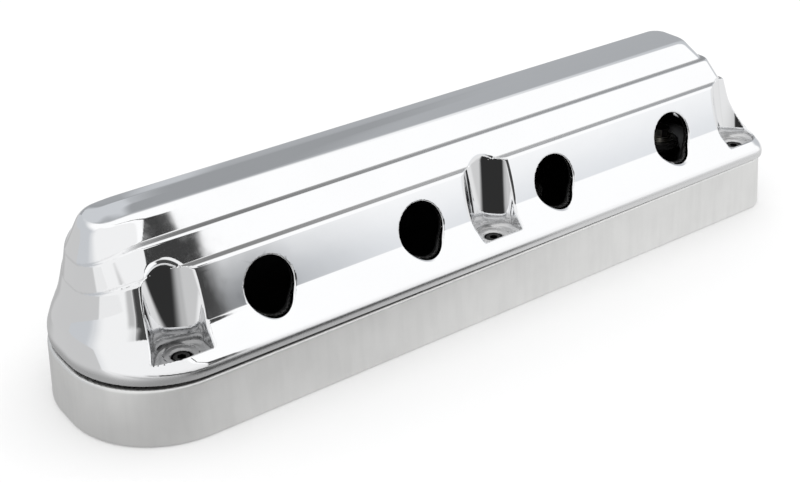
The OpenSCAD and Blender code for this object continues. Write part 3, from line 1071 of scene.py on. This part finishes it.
@dataclass
class SatinBase(Casting):
    """The low base: drafted wall, rim, deck with collars, columns and bosses, rail and gasket groove.

    The fields named blend or edge are the widths of fillets. The deck is given by its underside and its
    top, and the groove by its middle's distance from the outline, its half width and its depth.
    """

    layout: Layout = field(default_factory=Layout)
    name: str = "satin_base"
    length: float = 443.0
    half: float = 56.0
    nose_r: float = 50.0
    tail_r: float = 18.0
    rim_z: float = 31.9
    rim_rise: float = 1.8
    draft: float = 1.3
    tail_draft: float = 3.2
    edge: float = 0.8
    rail: float = 9.5
    rail_edge: float = 0.6
    tray: float = 6.6
    deck: tuple[float, float] = (24.5, 28.0)
    deck_blend: float = 3.0
    groove: tuple[float, float, float] = (4.8, 2.4, 3.6)
    column_r: float = 6.5
    column_foot: float = 9.5
    tap_r: float = 2.55
    tap_foot: float = 11.5
    collar_r: float = 13.0
    collar_foot: float = 12.0
    grommet_r: float = 8.5
    rib_t: float = 3.0
    rib_foot: float = 17.5
    coil_side: float = 23.0
    coil_boss_r: float = 5.5
    coil_boss_top: float = 33.0
    coil_tap_r: float = 2.5
    coil_tap_foot: float = 25.7
    root: float = 1.0
    root_blend: float = 1.6
    bore_edge: float = 0.4
    tray_skin: float = 1.2
    rail_skin: float = 1.0

    def outline(self, x: np.ndarray, side: np.ndarray, inset: float) -> np.ndarray:
        """Signed distance from the rail's outline, some way inside it."""
        end = self.length / 2
        return rounded_plan(x, side, self.half, -end, end, self.nose_r, self.tail_r) + inset

    def wall(self, x: np.ndarray, side: np.ndarray, z: np.ndarray) -> np.ndarray:
        """Field of the drafted outer block, up to the sloping rim.

        Args:
            x: Place along the part.
            side: Distance from the centre line.
            z: Height.

        Returns:
            The field, negative inside.
        """
        rim = self.rim_z + self.rim_rise * x / self.length
        up = np.clip(z / rim, 0.0, 1.0)
        tail_more = np.clip((x - self.length / 2 + self.tail_r) / self.tail_r, 0.0, 1.0)
        lean = up * (self.draft + (self.tail_draft - self.draft) * tail_more)
        return smooth_max(self.outline(x, side, 0.0) + lean, np.maximum(-z, z - rim), 2 * self.edge)

    def form(self, x: np.ndarray, y: np.ndarray, z: np.ndarray) -> np.ndarray:
        """Block less oil space and tray, with all that stands on the deck, as Casting.form gives it."""
        side = np.abs(y)
        at = self.layout
        under, over = self.deck
        oil = smooth_max(self.outline(x, side, self.rail), z - under, self.deck_blend)
        tray = smooth_max(self.outline(x, side, self.tray), over - z, self.deck_blend)
        solid = smooth_max(smooth_max(self.wall(x, side, z), -oil, self.rail_edge), -tray, self.edge)
        screw = np.hypot(nearest(x, at.screw_x), side - at.screw_side)
        bolt = np.hypot(nearest(x, at.bolt_x), side)
        coil = np.hypot(nearest(x, at.wire_x), side - self.coil_side)
        column = upright(screw, self.column_r, z, self.column_foot, at.post_z)
        collar = upright(bolt, self.collar_r, z, self.collar_foot, at.collar_top)
        boss = upright(coil, self.coil_boss_r, z, over - self.root, self.coil_boss_top)
        rib = np.maximum(np.abs(nearest(x, at.bolt_x)) - self.rib_t / 2, side - self.half + self.rail)
        rib = upright(rib, 0.0, z, self.rib_foot, over - self.root)
        for added in (column, collar, boss, rib):
            solid = smooth_min(solid, added, self.root_blend)
        middle, half, height = self.groove
        groove = np.maximum(np.abs(self.outline(x, side, 0.0) + middle) - half, z - height)
        tap = np.maximum(screw - self.tap_r, self.tap_foot - z)
        coil_tap = np.maximum(coil - self.coil_tap_r, self.coil_tap_foot - z)
        for cut in (groove, tap, bolt - self.grommet_r, coil_tap):
            solid = smooth_max(solid, -cut, self.bore_edge)
        return solid

    def hidden(self, points: np.ndarray) -> np.ndarray:
        """One on the deck and in the oil space, nought on the wall, rim and rail."""
        x, y, z = points.T
        deep = self.outline(x, np.abs(y), 0.0) < -self.tray + self.tray_skin
        return (deep & (z > self.rail_skin)).astype(float)

    def grid(self) -> Grid:
        """Put lines close together round the ends, collars, columns and rims.

        Returns:
            The grid.
        """
        middles = self.layout.bolt_x + self.layout.screw_x + self.layout.wire_x
        along = [(-223.0, -165.0, 1.5), (200.0, 223.0, 1.2)] + Grid.around(middles, reach=14.0, step=1.5)
        rim = [(47.0, 58.0, 0.9)]
        return Grid((
            Grid.spaced(low=-223.0, high=223.0, step=4.0, spans=along),
            Grid.spaced(low=-57.6, high=57.6, step=1.7, spans=rim + Grid.mirrored(rim)),
            Grid.spaced(low=-1.2, high=34.4, step=1.3, spans=[(-1.2, 1.4, 0.6), (29.0, 34.4, 0.7)]),
        ))


class Tree(NodeBoard):
    """A Geometry Nodes tree with named inputs, applied to a carrier mesh."""

    HEXAGON = 6
    THREAD_SIDES = 24
    THREAD_DEPTH = 1.1
    THREAD_START = (0.2, 1.2)
    KNURL_TOP = (0.08, 0.16)
    KNURL_FOOT = (0.86, 0.95)
    BEVEL_RUN = (-0.001, 0.09)
    BEVEL_SHARE = 3.2

    def __init__(self, name: str, lengths: dict[str, float], **counts: float) -> None:
        """Make the tree and its interface.

        Args:
            name: The tree's name.
            lengths: Names of its sizes, with their values in millimetres.
            counts: Names and values of its numbers.
        """
        super().__init__(bpy.data.node_groups.new(name, "GeometryNodeTree"))
        face = self.tree.interface
        face.new_socket(name="Carrier", in_out="INPUT", socket_type="NodeSocketGeometry")
        self.values = {key: value * MM for key, value in lengths.items()}
        self.values.update(counts)
        number = {"in_out": "INPUT", "socket_type": "NodeSocketFloat"}
        self.sockets = {key: face.new_socket(name=key, **number) for key in self.values}
        self.finish_socket = face.new_socket(name="Finish", in_out="INPUT", socket_type="NodeSocketMaterial")
        face.new_socket(name="Geometry", in_out="OUTPUT", socket_type="NodeSocketGeometry")
        self.entry = self.tree.nodes.new("NodeGroupInput")

    def size(self, name: str) -> Wire:
        """The wire of a named input."""
        return Wire(self, self.entry.outputs[name])

    def moved(self, mesh: Wire, up: Term) -> Wire:
        """A mesh moved up by a distance."""
        shift = self.node("ShaderNodeCombineXYZ", None, {"Z": up})
        return self.node("GeometryNodeTransform", None, {"Geometry": mesh, "Translation": shift})

    def turned(self, radius: Term, height: Term, corners: int, rings: int) -> Wire:
        """An upright closed cylinder that stands on the ground plane.

        Args:
            radius: Its radius.
            height: Its height.
            corners: Corners round it.
            rings: Steps up its side.

        Returns:
            The mesh.
        """
        inputs = {"Vertices": corners, "Side Segments": rings, "Radius": radius, "Depth": height}
        made = self.node("GeometryNodeMeshCylinder", {"fill_type": "NGON"}, inputs, "Mesh")
        return self.moved(made, height * 0.5)

    def polar(self) -> tuple[Wire, Wire, Wire]:
        """Where each point lies round Z.

        Returns:
            Its angle, height and outward direction.
        """
        x, y, z = self.axes(self.node("GeometryNodeInputPosition"))
        flat = self.node("ShaderNodeCombineXYZ", None, {"X": x, "Y": y})
        outward = self.node("ShaderNodeVectorMath", {"operation": "NORMALIZE"}, {0: flat})
        return self.maths("ARCTAN2", y, x), z, outward

    def pushed(self, mesh: Wire, outward: Wire, amount: Term) -> Wire:
        """A mesh with its points pushed along a direction by an amount."""
        offset = self.scaled(outward, amount)
        return self.node("GeometryNodeSetPosition", None, {"Geometry": mesh, "Offset": offset})

    def knurled(self, head: Wire, count: Wire, depth: Wire, height: Wire) -> Wire:
        """Straight knurls round a head, with plain bevelled ends.

        Args:
            head: The head, standing on the ground plane.
            count: Number of knurls.
            depth: Their depth.
            height: The head's height.

        Returns:
            The knurled head.
        """
        angle, z, outward = self.polar()
        wave = self.maths("SINE", angle * count) * 0.5 + 0.5
        from_top = (height - z) / height
        inside = from_top.ramped(*self.KNURL_TOP) * (1 - from_top.ramped(*self.KNURL_FOOT))
        bevel = (1 - from_top.ramped(*self.BEVEL_RUN)) * self.BEVEL_SHARE
        return self.pushed(head, outward, (wave * inside + bevel) * depth * -1)

    def threaded(self, radius: Wire, length: Wire, pitch: Wire, rings: int) -> Wire:
        """A shank that hangs below the ground plane, with a helical thread.

        Args:
            radius: Outer radius of the thread.
            length: Length of the shank.
            pitch: Rise of one turn.
            rings: Steps along the shank.

        Returns:
            The shank.
        """
        shank = self.moved(self.turned(radius, length, self.THREAD_SIDES, rings), length * -1)
        angle, z, outward = self.polar()
        saw = self.maths("PINGPONG", z / pitch - angle / math.tau, 0.5)
        plain = (z * -1 / pitch).ramped(*self.THREAD_START)
        return self.pushed(shank, outward, saw * plain * pitch * -self.THREAD_DEPTH)

    def close(self, *parts: Wire) -> None:
        """Stand the joined parts on every carrier point, realize them, set the finish and end the tree.

        Args:
            parts: The meshes that make one fastener.
        """
        joined = self.node("GeometryNodeJoinGeometry", None, {"Geometry": parts[0]})
        for part in parts[1:]:
            self.feed(joined.socket.node.inputs["Geometry"], part)
        inputs = {"Points": self.size("Carrier"), "Instance": joined}
        placed = self.node("GeometryNodeInstanceOnPoints", None, inputs)
        real = self.node("GeometryNodeRealizeInstances", None, {"Geometry": placed})
        flat = self.node("GeometryNodeSetShadeSmooth", None, {"Geometry": real, "Shade Smooth": False})
        dressed = {"Geometry": flat, "Material": self.size("Finish")}
        self.node("NodeGroupOutput", None, {"Geometry": self.node("GeometryNodeSetMaterial", None, dressed)})

    def piece(self, name: str, places: Sequence[Sequence[float]], finish: Finish) -> bpy.types.Object:
        """Run the tree on a carrier of loose points and keep the result as a plain mesh.

        Args:
            name: The piece's name.
            places: The carrier's points, in millimetres.
            finish: Material of the result.

        Returns:
            An object that holds the mesh.
        """
        carrier = bpy.data.meshes.new(name + "_places")
        carrier.from_pydata([[c * MM for c in place] for place in places], [], [])
        holder = bpy.data.objects.new(name + "_carrier", carrier)
        bpy.context.scene.collection.objects.link(holder)
        modifier = holder.modifiers.new("grow", "NODES")
        modifier.node_group = self.tree
        for key, socket in self.sockets.items():
            modifier[socket.identifier] = float(self.values[key])
        modifier[self.finish_socket.identifier] = finish.material()
        grown = holder.evaluated_get(bpy.context.evaluated_depsgraph_get())
        mesh = bpy.data.meshes.new_from_object(grown)
        holder.modifiers.remove(modifier)
        bpy.data.objects.remove(holder)
        mesh.name = name
        return bpy.data.objects.new(name, mesh)


def across_corners(across_flats: float) -> float:
    """Radius of a hexagon's corners, from its width over the flats."""
    return across_flats / math.sqrt(3)


@dataclass
class CoverScrews:
    """The six blackened socket head screws that hold the cover down."""

    layout: Layout = field(default_factory=Layout)
    head_r: float = 4.25
    head_h: float = 5.0
    head_sides: int = 144
    head_rings: int = 12
    socket_af: float = 4.0
    socket_depth: float = 2.6
    thread_r: float = 2.5
    thread_rings: int = 150
    length: float = 20.0
    knurls: float = 36.0
    knurl_depth: float = 0.12
    pitch: float = 0.8

    def tree(self) -> Tree:
        """Put a knurled head with a hexagon socket, and a threaded shank, on every carrier point.

        Returns:
            The tree.
        """
        tree = Tree("cover_screw_tree", {
            "Head Radius": self.head_r, "Head Height": self.head_h,
            "Socket Radius": across_corners(self.socket_af), "Socket Depth": self.socket_depth,
            "Thread Radius": self.thread_r, "Length": self.length,
            "Knurl Depth": self.knurl_depth, "Pitch": self.pitch,
        }, Knurls=self.knurls)
        head_h = tree.size("Head Height")
        head = tree.turned(tree.size("Head Radius"), head_h, self.head_sides, self.head_rings)
        head = tree.knurled(head, tree.size("Knurls"), tree.size("Knurl Depth"), head_h)
        tool = tree.turned(tree.size("Socket Radius"), 2 * tree.size("Socket Depth"), tree.HEXAGON, 1)
        tool = tree.moved(tool, head_h - tree.size("Socket Depth"))
        meshes = {"Mesh 1": head, "Mesh 2": tool}
        head = tree.node("GeometryNodeMeshBoolean", {"operation": "DIFFERENCE"}, meshes)
        thread_r, length, pitch = (tree.size(name) for name in ("Thread Radius", "Length", "Pitch"))
        tree.close(head, tree.threaded(thread_r, length, pitch, self.thread_rings))
        return tree

    def build(self) -> bpy.types.Object:
        """Make the screws in place of their CAD nodes.

        Returns:
            The piece.
        """
        places = [(x, y, self.layout.shelf_z) for x, y in self.layout.screws()]
        piece = self.tree().piece("cover_screws", places, BLACKENED)
        return add_piece(piece, Slot.BLACK, *[f"cover_screw_{i + 1}" for i in range(len(places))])


@dataclass
class HeadBolts:
    """The four flanged hexagon bolts on the centre line."""

    layout: Layout = field(default_factory=Layout)
    seat: float = 36.6
    hex_af: float = 10.0
    hex_h: float = 5.0
    flange_r: float = 7.0
    flange_t: float = 1.5
    flange_sides: int = 64
    shank_r: float = 2.7
    shank_sides: int = 48
    thread_r: float = 3.0
    thread_rings: int = 60
    thread_length: float = 10.0
    length: float = 35.0
    pitch: float = 1.0

    def tree(self) -> Tree:
        """Put a flange, a hexagon, a shank and its threaded end on every carrier point.

        Returns:
            The tree.
        """
        tree = Tree("head_bolt_tree", {
            "Hex Radius": across_corners(self.hex_af), "Hex Height": self.hex_h,
            "Flange Radius": self.flange_r, "Flange Height": self.flange_t,
            "Shank Radius": self.shank_r, "Length": self.length,
            "Thread Radius": self.thread_r, "Thread Length": self.thread_length, "Pitch": self.pitch,
        })
        flange_h, thread_length = tree.size("Flange Height"), tree.size("Thread Length")
        flange = tree.turned(tree.size("Flange Radius"), flange_h, self.flange_sides, 2)
        crown = tree.turned(tree.size("Hex Radius"), tree.size("Hex Height"), tree.HEXAGON, 1)
        plain = tree.size("Length") - thread_length
        shank = tree.moved(tree.turned(tree.size("Shank Radius"), plain, self.shank_sides, 1), plain * -1)
        thread_r, pitch = tree.size("Thread Radius"), tree.size("Pitch")
        thread = tree.threaded(thread_r, thread_length, pitch, self.thread_rings)
        tree.close(flange, tree.moved(crown, flange_h), shank, tree.moved(thread, plain * -1))
        return tree

    def build(self) -> bpy.types.Object:
        """Make the bolts in place of their CAD nodes.

        Returns:
            The piece.
        """
        places = [(x, 0.0, self.seat) for x in self.layout.bolt_x]
        piece = self.tree().piece("head_bolts", places, PLATED)
        return add_piece(piece, Slot.PLATED, *[f"head_bolt_{i + 1}" for i in range(len(places))])


def dress_nodes() -> None:
    """Give the CAD nodes that stay their finishes."""
    looks = {
        "head_washer": (PLATED, Slot.PLATED), "head_grommet": (RUBBER, Slot.RUBBER),
        "head_sleeve": (TURNED, Slot.TURNED), "rail_gasket": (RUBBER, Slot.RUBBER),
    }
    for name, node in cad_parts.items():
        for start, (finish, slot) in looks.items():
            if name.startswith(start):
                node.data.materials.clear()
                node.data.materials.append(finish.material())


FAR = 5000.0
WHITE = (1.0, 1.0, 1.0)
COOL = (0.97, 1.0, 1.04)


@dataclass(frozen=True)
class Patch:
    """A soft-edged window in two coordinates: a card, wall or soft box that the metal mirrors.

    Attributes:
        across: Start and end along the first coordinate.
        up: Start and end along the second one.
        level: Brightness.
        soft: Width of the edges in either coordinate.
        tint: Slight colour of the light.
        slant: How far the first coordinate runs ahead for each unit of the second.
    """

    across: tuple[float, float]
    up: tuple[float, float]
    level: float
    soft: tuple[float, float] = (1.0, 1.0)
    tint: tuple[float, float, float] = WHITE
    slant: float = 0.0

    def over(self, board: NodeBoard, colour: Any, first: Wire, second: Wire) -> Wire:
        """Lay the patch over a colour.

        Args:
            board: The tree to build in.
            colour: What lies behind it.
            first: First coordinate.
            second: Second coordinate.

        Returns:
            The colour with the patch on it.
        """
        run = first + second * self.slant if self.slant else first
        mask = None
        for place, ends, soft in ((run, self.across, self.soft[0]), (second, self.up, self.soft[1])):
            for end, rising in zip(ends, (True, False)):
                if abs(end) >= FAR:
                    continue
                edge = place.ramped(end - soft, end + soft)
                edge = edge if rising else 1 - edge
                mask = edge if mask is None else mask * edge
        return board.mix(mask, colour, grey(self.level, self.tint))


# The room by bearing and height in degrees: 0 is straight behind, 90 the tail, 180 the front, 270 the nose.
# Each patch lies over those before it.
ROOM = (
    # The white wall in front, then the duller ones beside the nose and the tail and at the back.
    Patch((158.0, 276.0), (-12.0, 64.0), 0.97, (1.0, 4.0)),
    Patch((272.0, FAR), (-FAR, 40.0), 0.63, (14.0, 12.0), COOL),
    Patch((58.0, 100.0), (-FAR, 54.0), 0.62, (8.0, 9.0), COOL),
    Patch((-FAR, 66.0), (-FAR, 54.0), 0.45, (7.0, 9.0), COOL),
    # What the flat top mirrors, lighter towards the nose, and what its rounded edges mirror.
    Patch((-FAR, 37.0), (17.0, 42.0), 0.36, (3.0, 4.0), COOL),
    Patch((-FAR, 23.6), (22.0, 42.0), 0.66, (1.9, 2.0), COOL),
    Patch((22.0, 25.0), (2.0, 18.0), 0.60, (1.0, 3.0), COOL),
    Patch((-FAR, 21.5), (2.0, 18.0), 0.40, (0.8, 3.0), COOL),
    # Low over the horizon: greys that darken towards the front, the dark band there and its lighter end.
    Patch((118.0, 156.5), (-40.0, 1.0), 0.79, (5.0, 2.5), COOL),
    Patch((151.5, 156.5), (-40.0, 1.8), 0.54, (3.0, 2.2), COOL),
    Patch((154.2, 157.0), (-40.0, 1.8), 0.26, (1.0, 2.2), COOL),
    Patch((156.7, 211.0), (-60.0, 8.6), 0.06, (0.5, 1.2)),
    Patch((211.0, 223.0), (-60.0, 8.6), 0.55, (4.0, 2.0)),
    # The narrow dark upright that crosses the tiers, and the short one beside it.
    Patch((158.85, 160.7), (11.0, 90.0), 0.05, (0.15, 1.5), WHITE, 0.184),
    Patch((156.5, 158.7), (12.0, 21.0), 0.05, (0.2, 1.5)),
)

# The floor as the metal mirrors it, by X and Y in millimetres.
FLOOR_LOOK = (
    # Bright to the right, and a slanting dark shape in front of the part.
    Patch((-40.0, FAR), (-150.0, FAR), 0.84, (150.0, 20.0)),
    Patch((300.0, FAR), (-FAR, -150.0), 0.86, (100.0, 20.0)),
    Patch((-460.0, 34.0), (-900.0, -146.0), 0.03, (24.0, 16.0), WHITE, 0.55),
    # Duller close to the nose, and bright again further out.
    Patch((-FAR, -176.0), (-FAR, FAR), 0.50, (36.0, 20.0)),
    Patch((-FAR, -240.0), (-FAR, FAR), 0.62, (20.0, 20.0)),
    Patch((-FAR, -270.0), (-130.0, -40.0), 0.90, (30.0, 30.0)),
    Patch((-FAR, -450.0), (-FAR, -40.0), 0.90, (60.0, 30.0)),
)


@dataclass(frozen=True)
class Lamp:
    """A square soft lamp, in metres and watts, that the metal doesn't mirror."""

    name: str
    place: tuple[float, float, float]
    size: float
    power: float

    def build(self, aim: Vector) -> bpy.types.Object:
        """Hang the lamp.

        Args:
            aim: The point that it shines at.

        Returns:
            The lamp.
        """
        data = bpy.data.lights.new(self.name, "AREA")
        data.size = self.size
        data.energy = self.power
        made = bpy.data.objects.new(self.name, data)
        made.location = self.place
        made.rotation_euler = (aim - Vector(self.place)).to_track_quat("-Z", "Y").to_euler()
        made.visible_glossy = False
        bpy.context.scene.collection.objects.link(made)
        return made


@dataclass
class Studio:
    """Camera, pale floor, lamps and the soft boxes that the polished metal mirrors.

    The camera's places are in millimetres, and the floor, lamps and clipping distances in metres.
    """

    image: tuple[int, int] = (800, 482)
    sensor: float = 36.0
    focal_px: float = 1413.2
    axis_px: tuple[float, float] = (410.0, 195.0)
    eye: tuple[float, float, float] = (-417.6, -554.1, 402.0)
    target: tuple[float, float, float] = (-13.5, 0.0, 55.6)
    roll: float = -1.041
    clip: tuple[float, float] = (0.05, 50.0)
    floor_half: float = 6.0
    floor_z: float = -0.0002
    floor_glow: float = 0.02
    floor_colour: float = 0.80
    floor_mirrored: float = 0.66
    room_white: float = 1.10
    soft_light: float = 1.24
    aim: tuple[float, float, float] = (0.0, 0.0, 0.05)
    lamps: tuple[Lamp, ...] = (
        Lamp("key", (-0.7, -1.1, 1.9), 1.6, 4.0),
        Lamp("fill", (1.4, -0.4, 1.6), 1.8, 3.0),
    )

    def camera(self) -> bpy.types.Object:
        """Put the camera where the photograph was taken from.

        Returns:
            The camera.
        """
        data = bpy.data.cameras.new("camera")
        width, height = self.image
        data.sensor_width = self.sensor
        data.lens = self.focal_px * data.sensor_width / width
        data.shift_x = (width / 2 - self.axis_px[0]) / width
        data.shift_y = (self.axis_px[1] - height / 2) / width
        data.clip_start, data.clip_end = self.clip
        made = bpy.data.objects.new("camera", data)
        eye, target = Vector(self.eye) * MM, Vector(self.target) * MM
        turn = (target - eye).to_track_quat("-Z", "Y").to_matrix().to_4x4()
        made.matrix_world = Matrix.Translation(eye) @ turn @ Matrix.Rotation(math.radians(self.roll), 4, "Z")
        bpy.context.scene.collection.objects.link(made)
        bpy.context.scene.camera = made
        return made

    @staticmethod
    def glow(board: NodeBoard, colour: Any, strength: float = 1.0) -> Wire:
        """Light of one colour or wire."""
        return board.node("ShaderNodeEmission", None, {"Color": colour, "Strength": strength})

    @staticmethod
    def by_ray(board: NodeBoard, seen: Wire, mirrored: Wire, other: Wire) -> Wire:
        """Choose a shader by the kind of ray.

        Args:
            board: The tree to build in.
            seen: What the camera sees.
            mirrored: What metal shows.
            other: What every other ray meets, so what lights the part.

        Returns:
            The shader that makes the choice.
        """
        path = board.node("ShaderNodeLightPath")
        rays = {s.name: Wire(board, s) for s in path.socket.node.outputs}
        shown = board.node("ShaderNodeMixShader", None, {0: rays["Is Camera Ray"], 1: other, 2: seen})
        metal = (rays["Is Glossy Ray"] + rays["Is Transmission Ray"]).clamped(0.0, 1.0)
        return board.node("ShaderNodeMixShader", None, {0: metal, 1: shown, 2: mirrored})

    def floor(self) -> bpy.types.Object:
        """Lay a wide pale floor just under the rail, which keeps the part's shadow.

        Returns:
            The floor.
        """
        low, high = -self.floor_half, self.floor_half
        mesh = bpy.data.meshes.new("floor")
        mesh.from_pydata([(low, low, 0), (high, low, 0), (high, high, 0), (low, high, 0)], [], [(0, 1, 2, 3)])
        made = bpy.data.objects.new("floor", mesh)
        made.location = (0.0, 0.0, self.floor_z)
        bpy.context.scene.collection.objects.link(made)
        paint = bpy.data.materials.new("pale_floor")
        paint.use_nodes = True
        paint.node_tree.nodes.clear()
        board = NodeBoard(paint.node_tree)
        x, y, _ = board.axes(board.millimetres())
        look: Any = grey(self.floor_mirrored)
        for patch in FLOOR_LOOK:
            look = patch.over(board, look, x, y)
        matt = board.node("ShaderNodeBsdfDiffuse", None, {"Color": grey(self.floor_colour)})
        lit = {0: matt, 1: self.glow(board, grey(self.floor_glow))}
        final = self.by_ray(board, board.node("ShaderNodeAddShader", None, lit), self.glow(board, look), matt)
        board.node("ShaderNodeOutputMaterial", None, {"Surface": final})
        mesh.materials.append(paint)
        return made

    def world(self) -> None:
        """White surroundings, with the darker parts of the room that the metal mirrors."""
        made = bpy.data.worlds.new("studio")
        bpy.context.scene.world = made
        made.use_nodes = True
        made.node_tree.nodes.clear()
        board = NodeBoard(made.node_tree)
        x, y, z = board.axes(board.node("ShaderNodeTexCoord", output="Generated"))
        degrees = 180 / math.pi
        bearing = board.maths("ARCTAN2", x * -1, y * -1) * degrees + 180
        height = board.maths("ARCSINE", z) * degrees
        room: Any = grey(self.room_white)
        for patch in ROOM:
            room = patch.over(board, room, bearing, height)
        white, soft = self.glow(board, grey(1.0)), self.glow(board, grey(1.0), self.soft_light)
        final = self.by_ray(board, white, self.glow(board, room), soft)
        board.node("ShaderNodeOutputWorld", None, {"Surface": final})

    def build(self) -> None:
        """Set up the whole studio."""
        self.camera()
        self.floor()
        self.world()
        for lamp in self.lamps:
            lamp.build(Vector(self.aim))
        bpy.context.scene.view_settings.view_transform = "Standard"


def main() -> None:
    """Build the studio and every piece."""
    logging.basicConfig(level=logging.INFO, format="%(name)s %(message)s")
    layout = Layout()
    Studio().build()
    PolishedCover(layout).build(MIRROR, Slot.COVER, "cover")
    SatinBase(layout).build(SATIN, Slot.BASE, "base")
    CoverScrews(layout).build()
    HeadBolts(layout).build()
    dress_nodes()


if __name__ == "__main__":
    main()
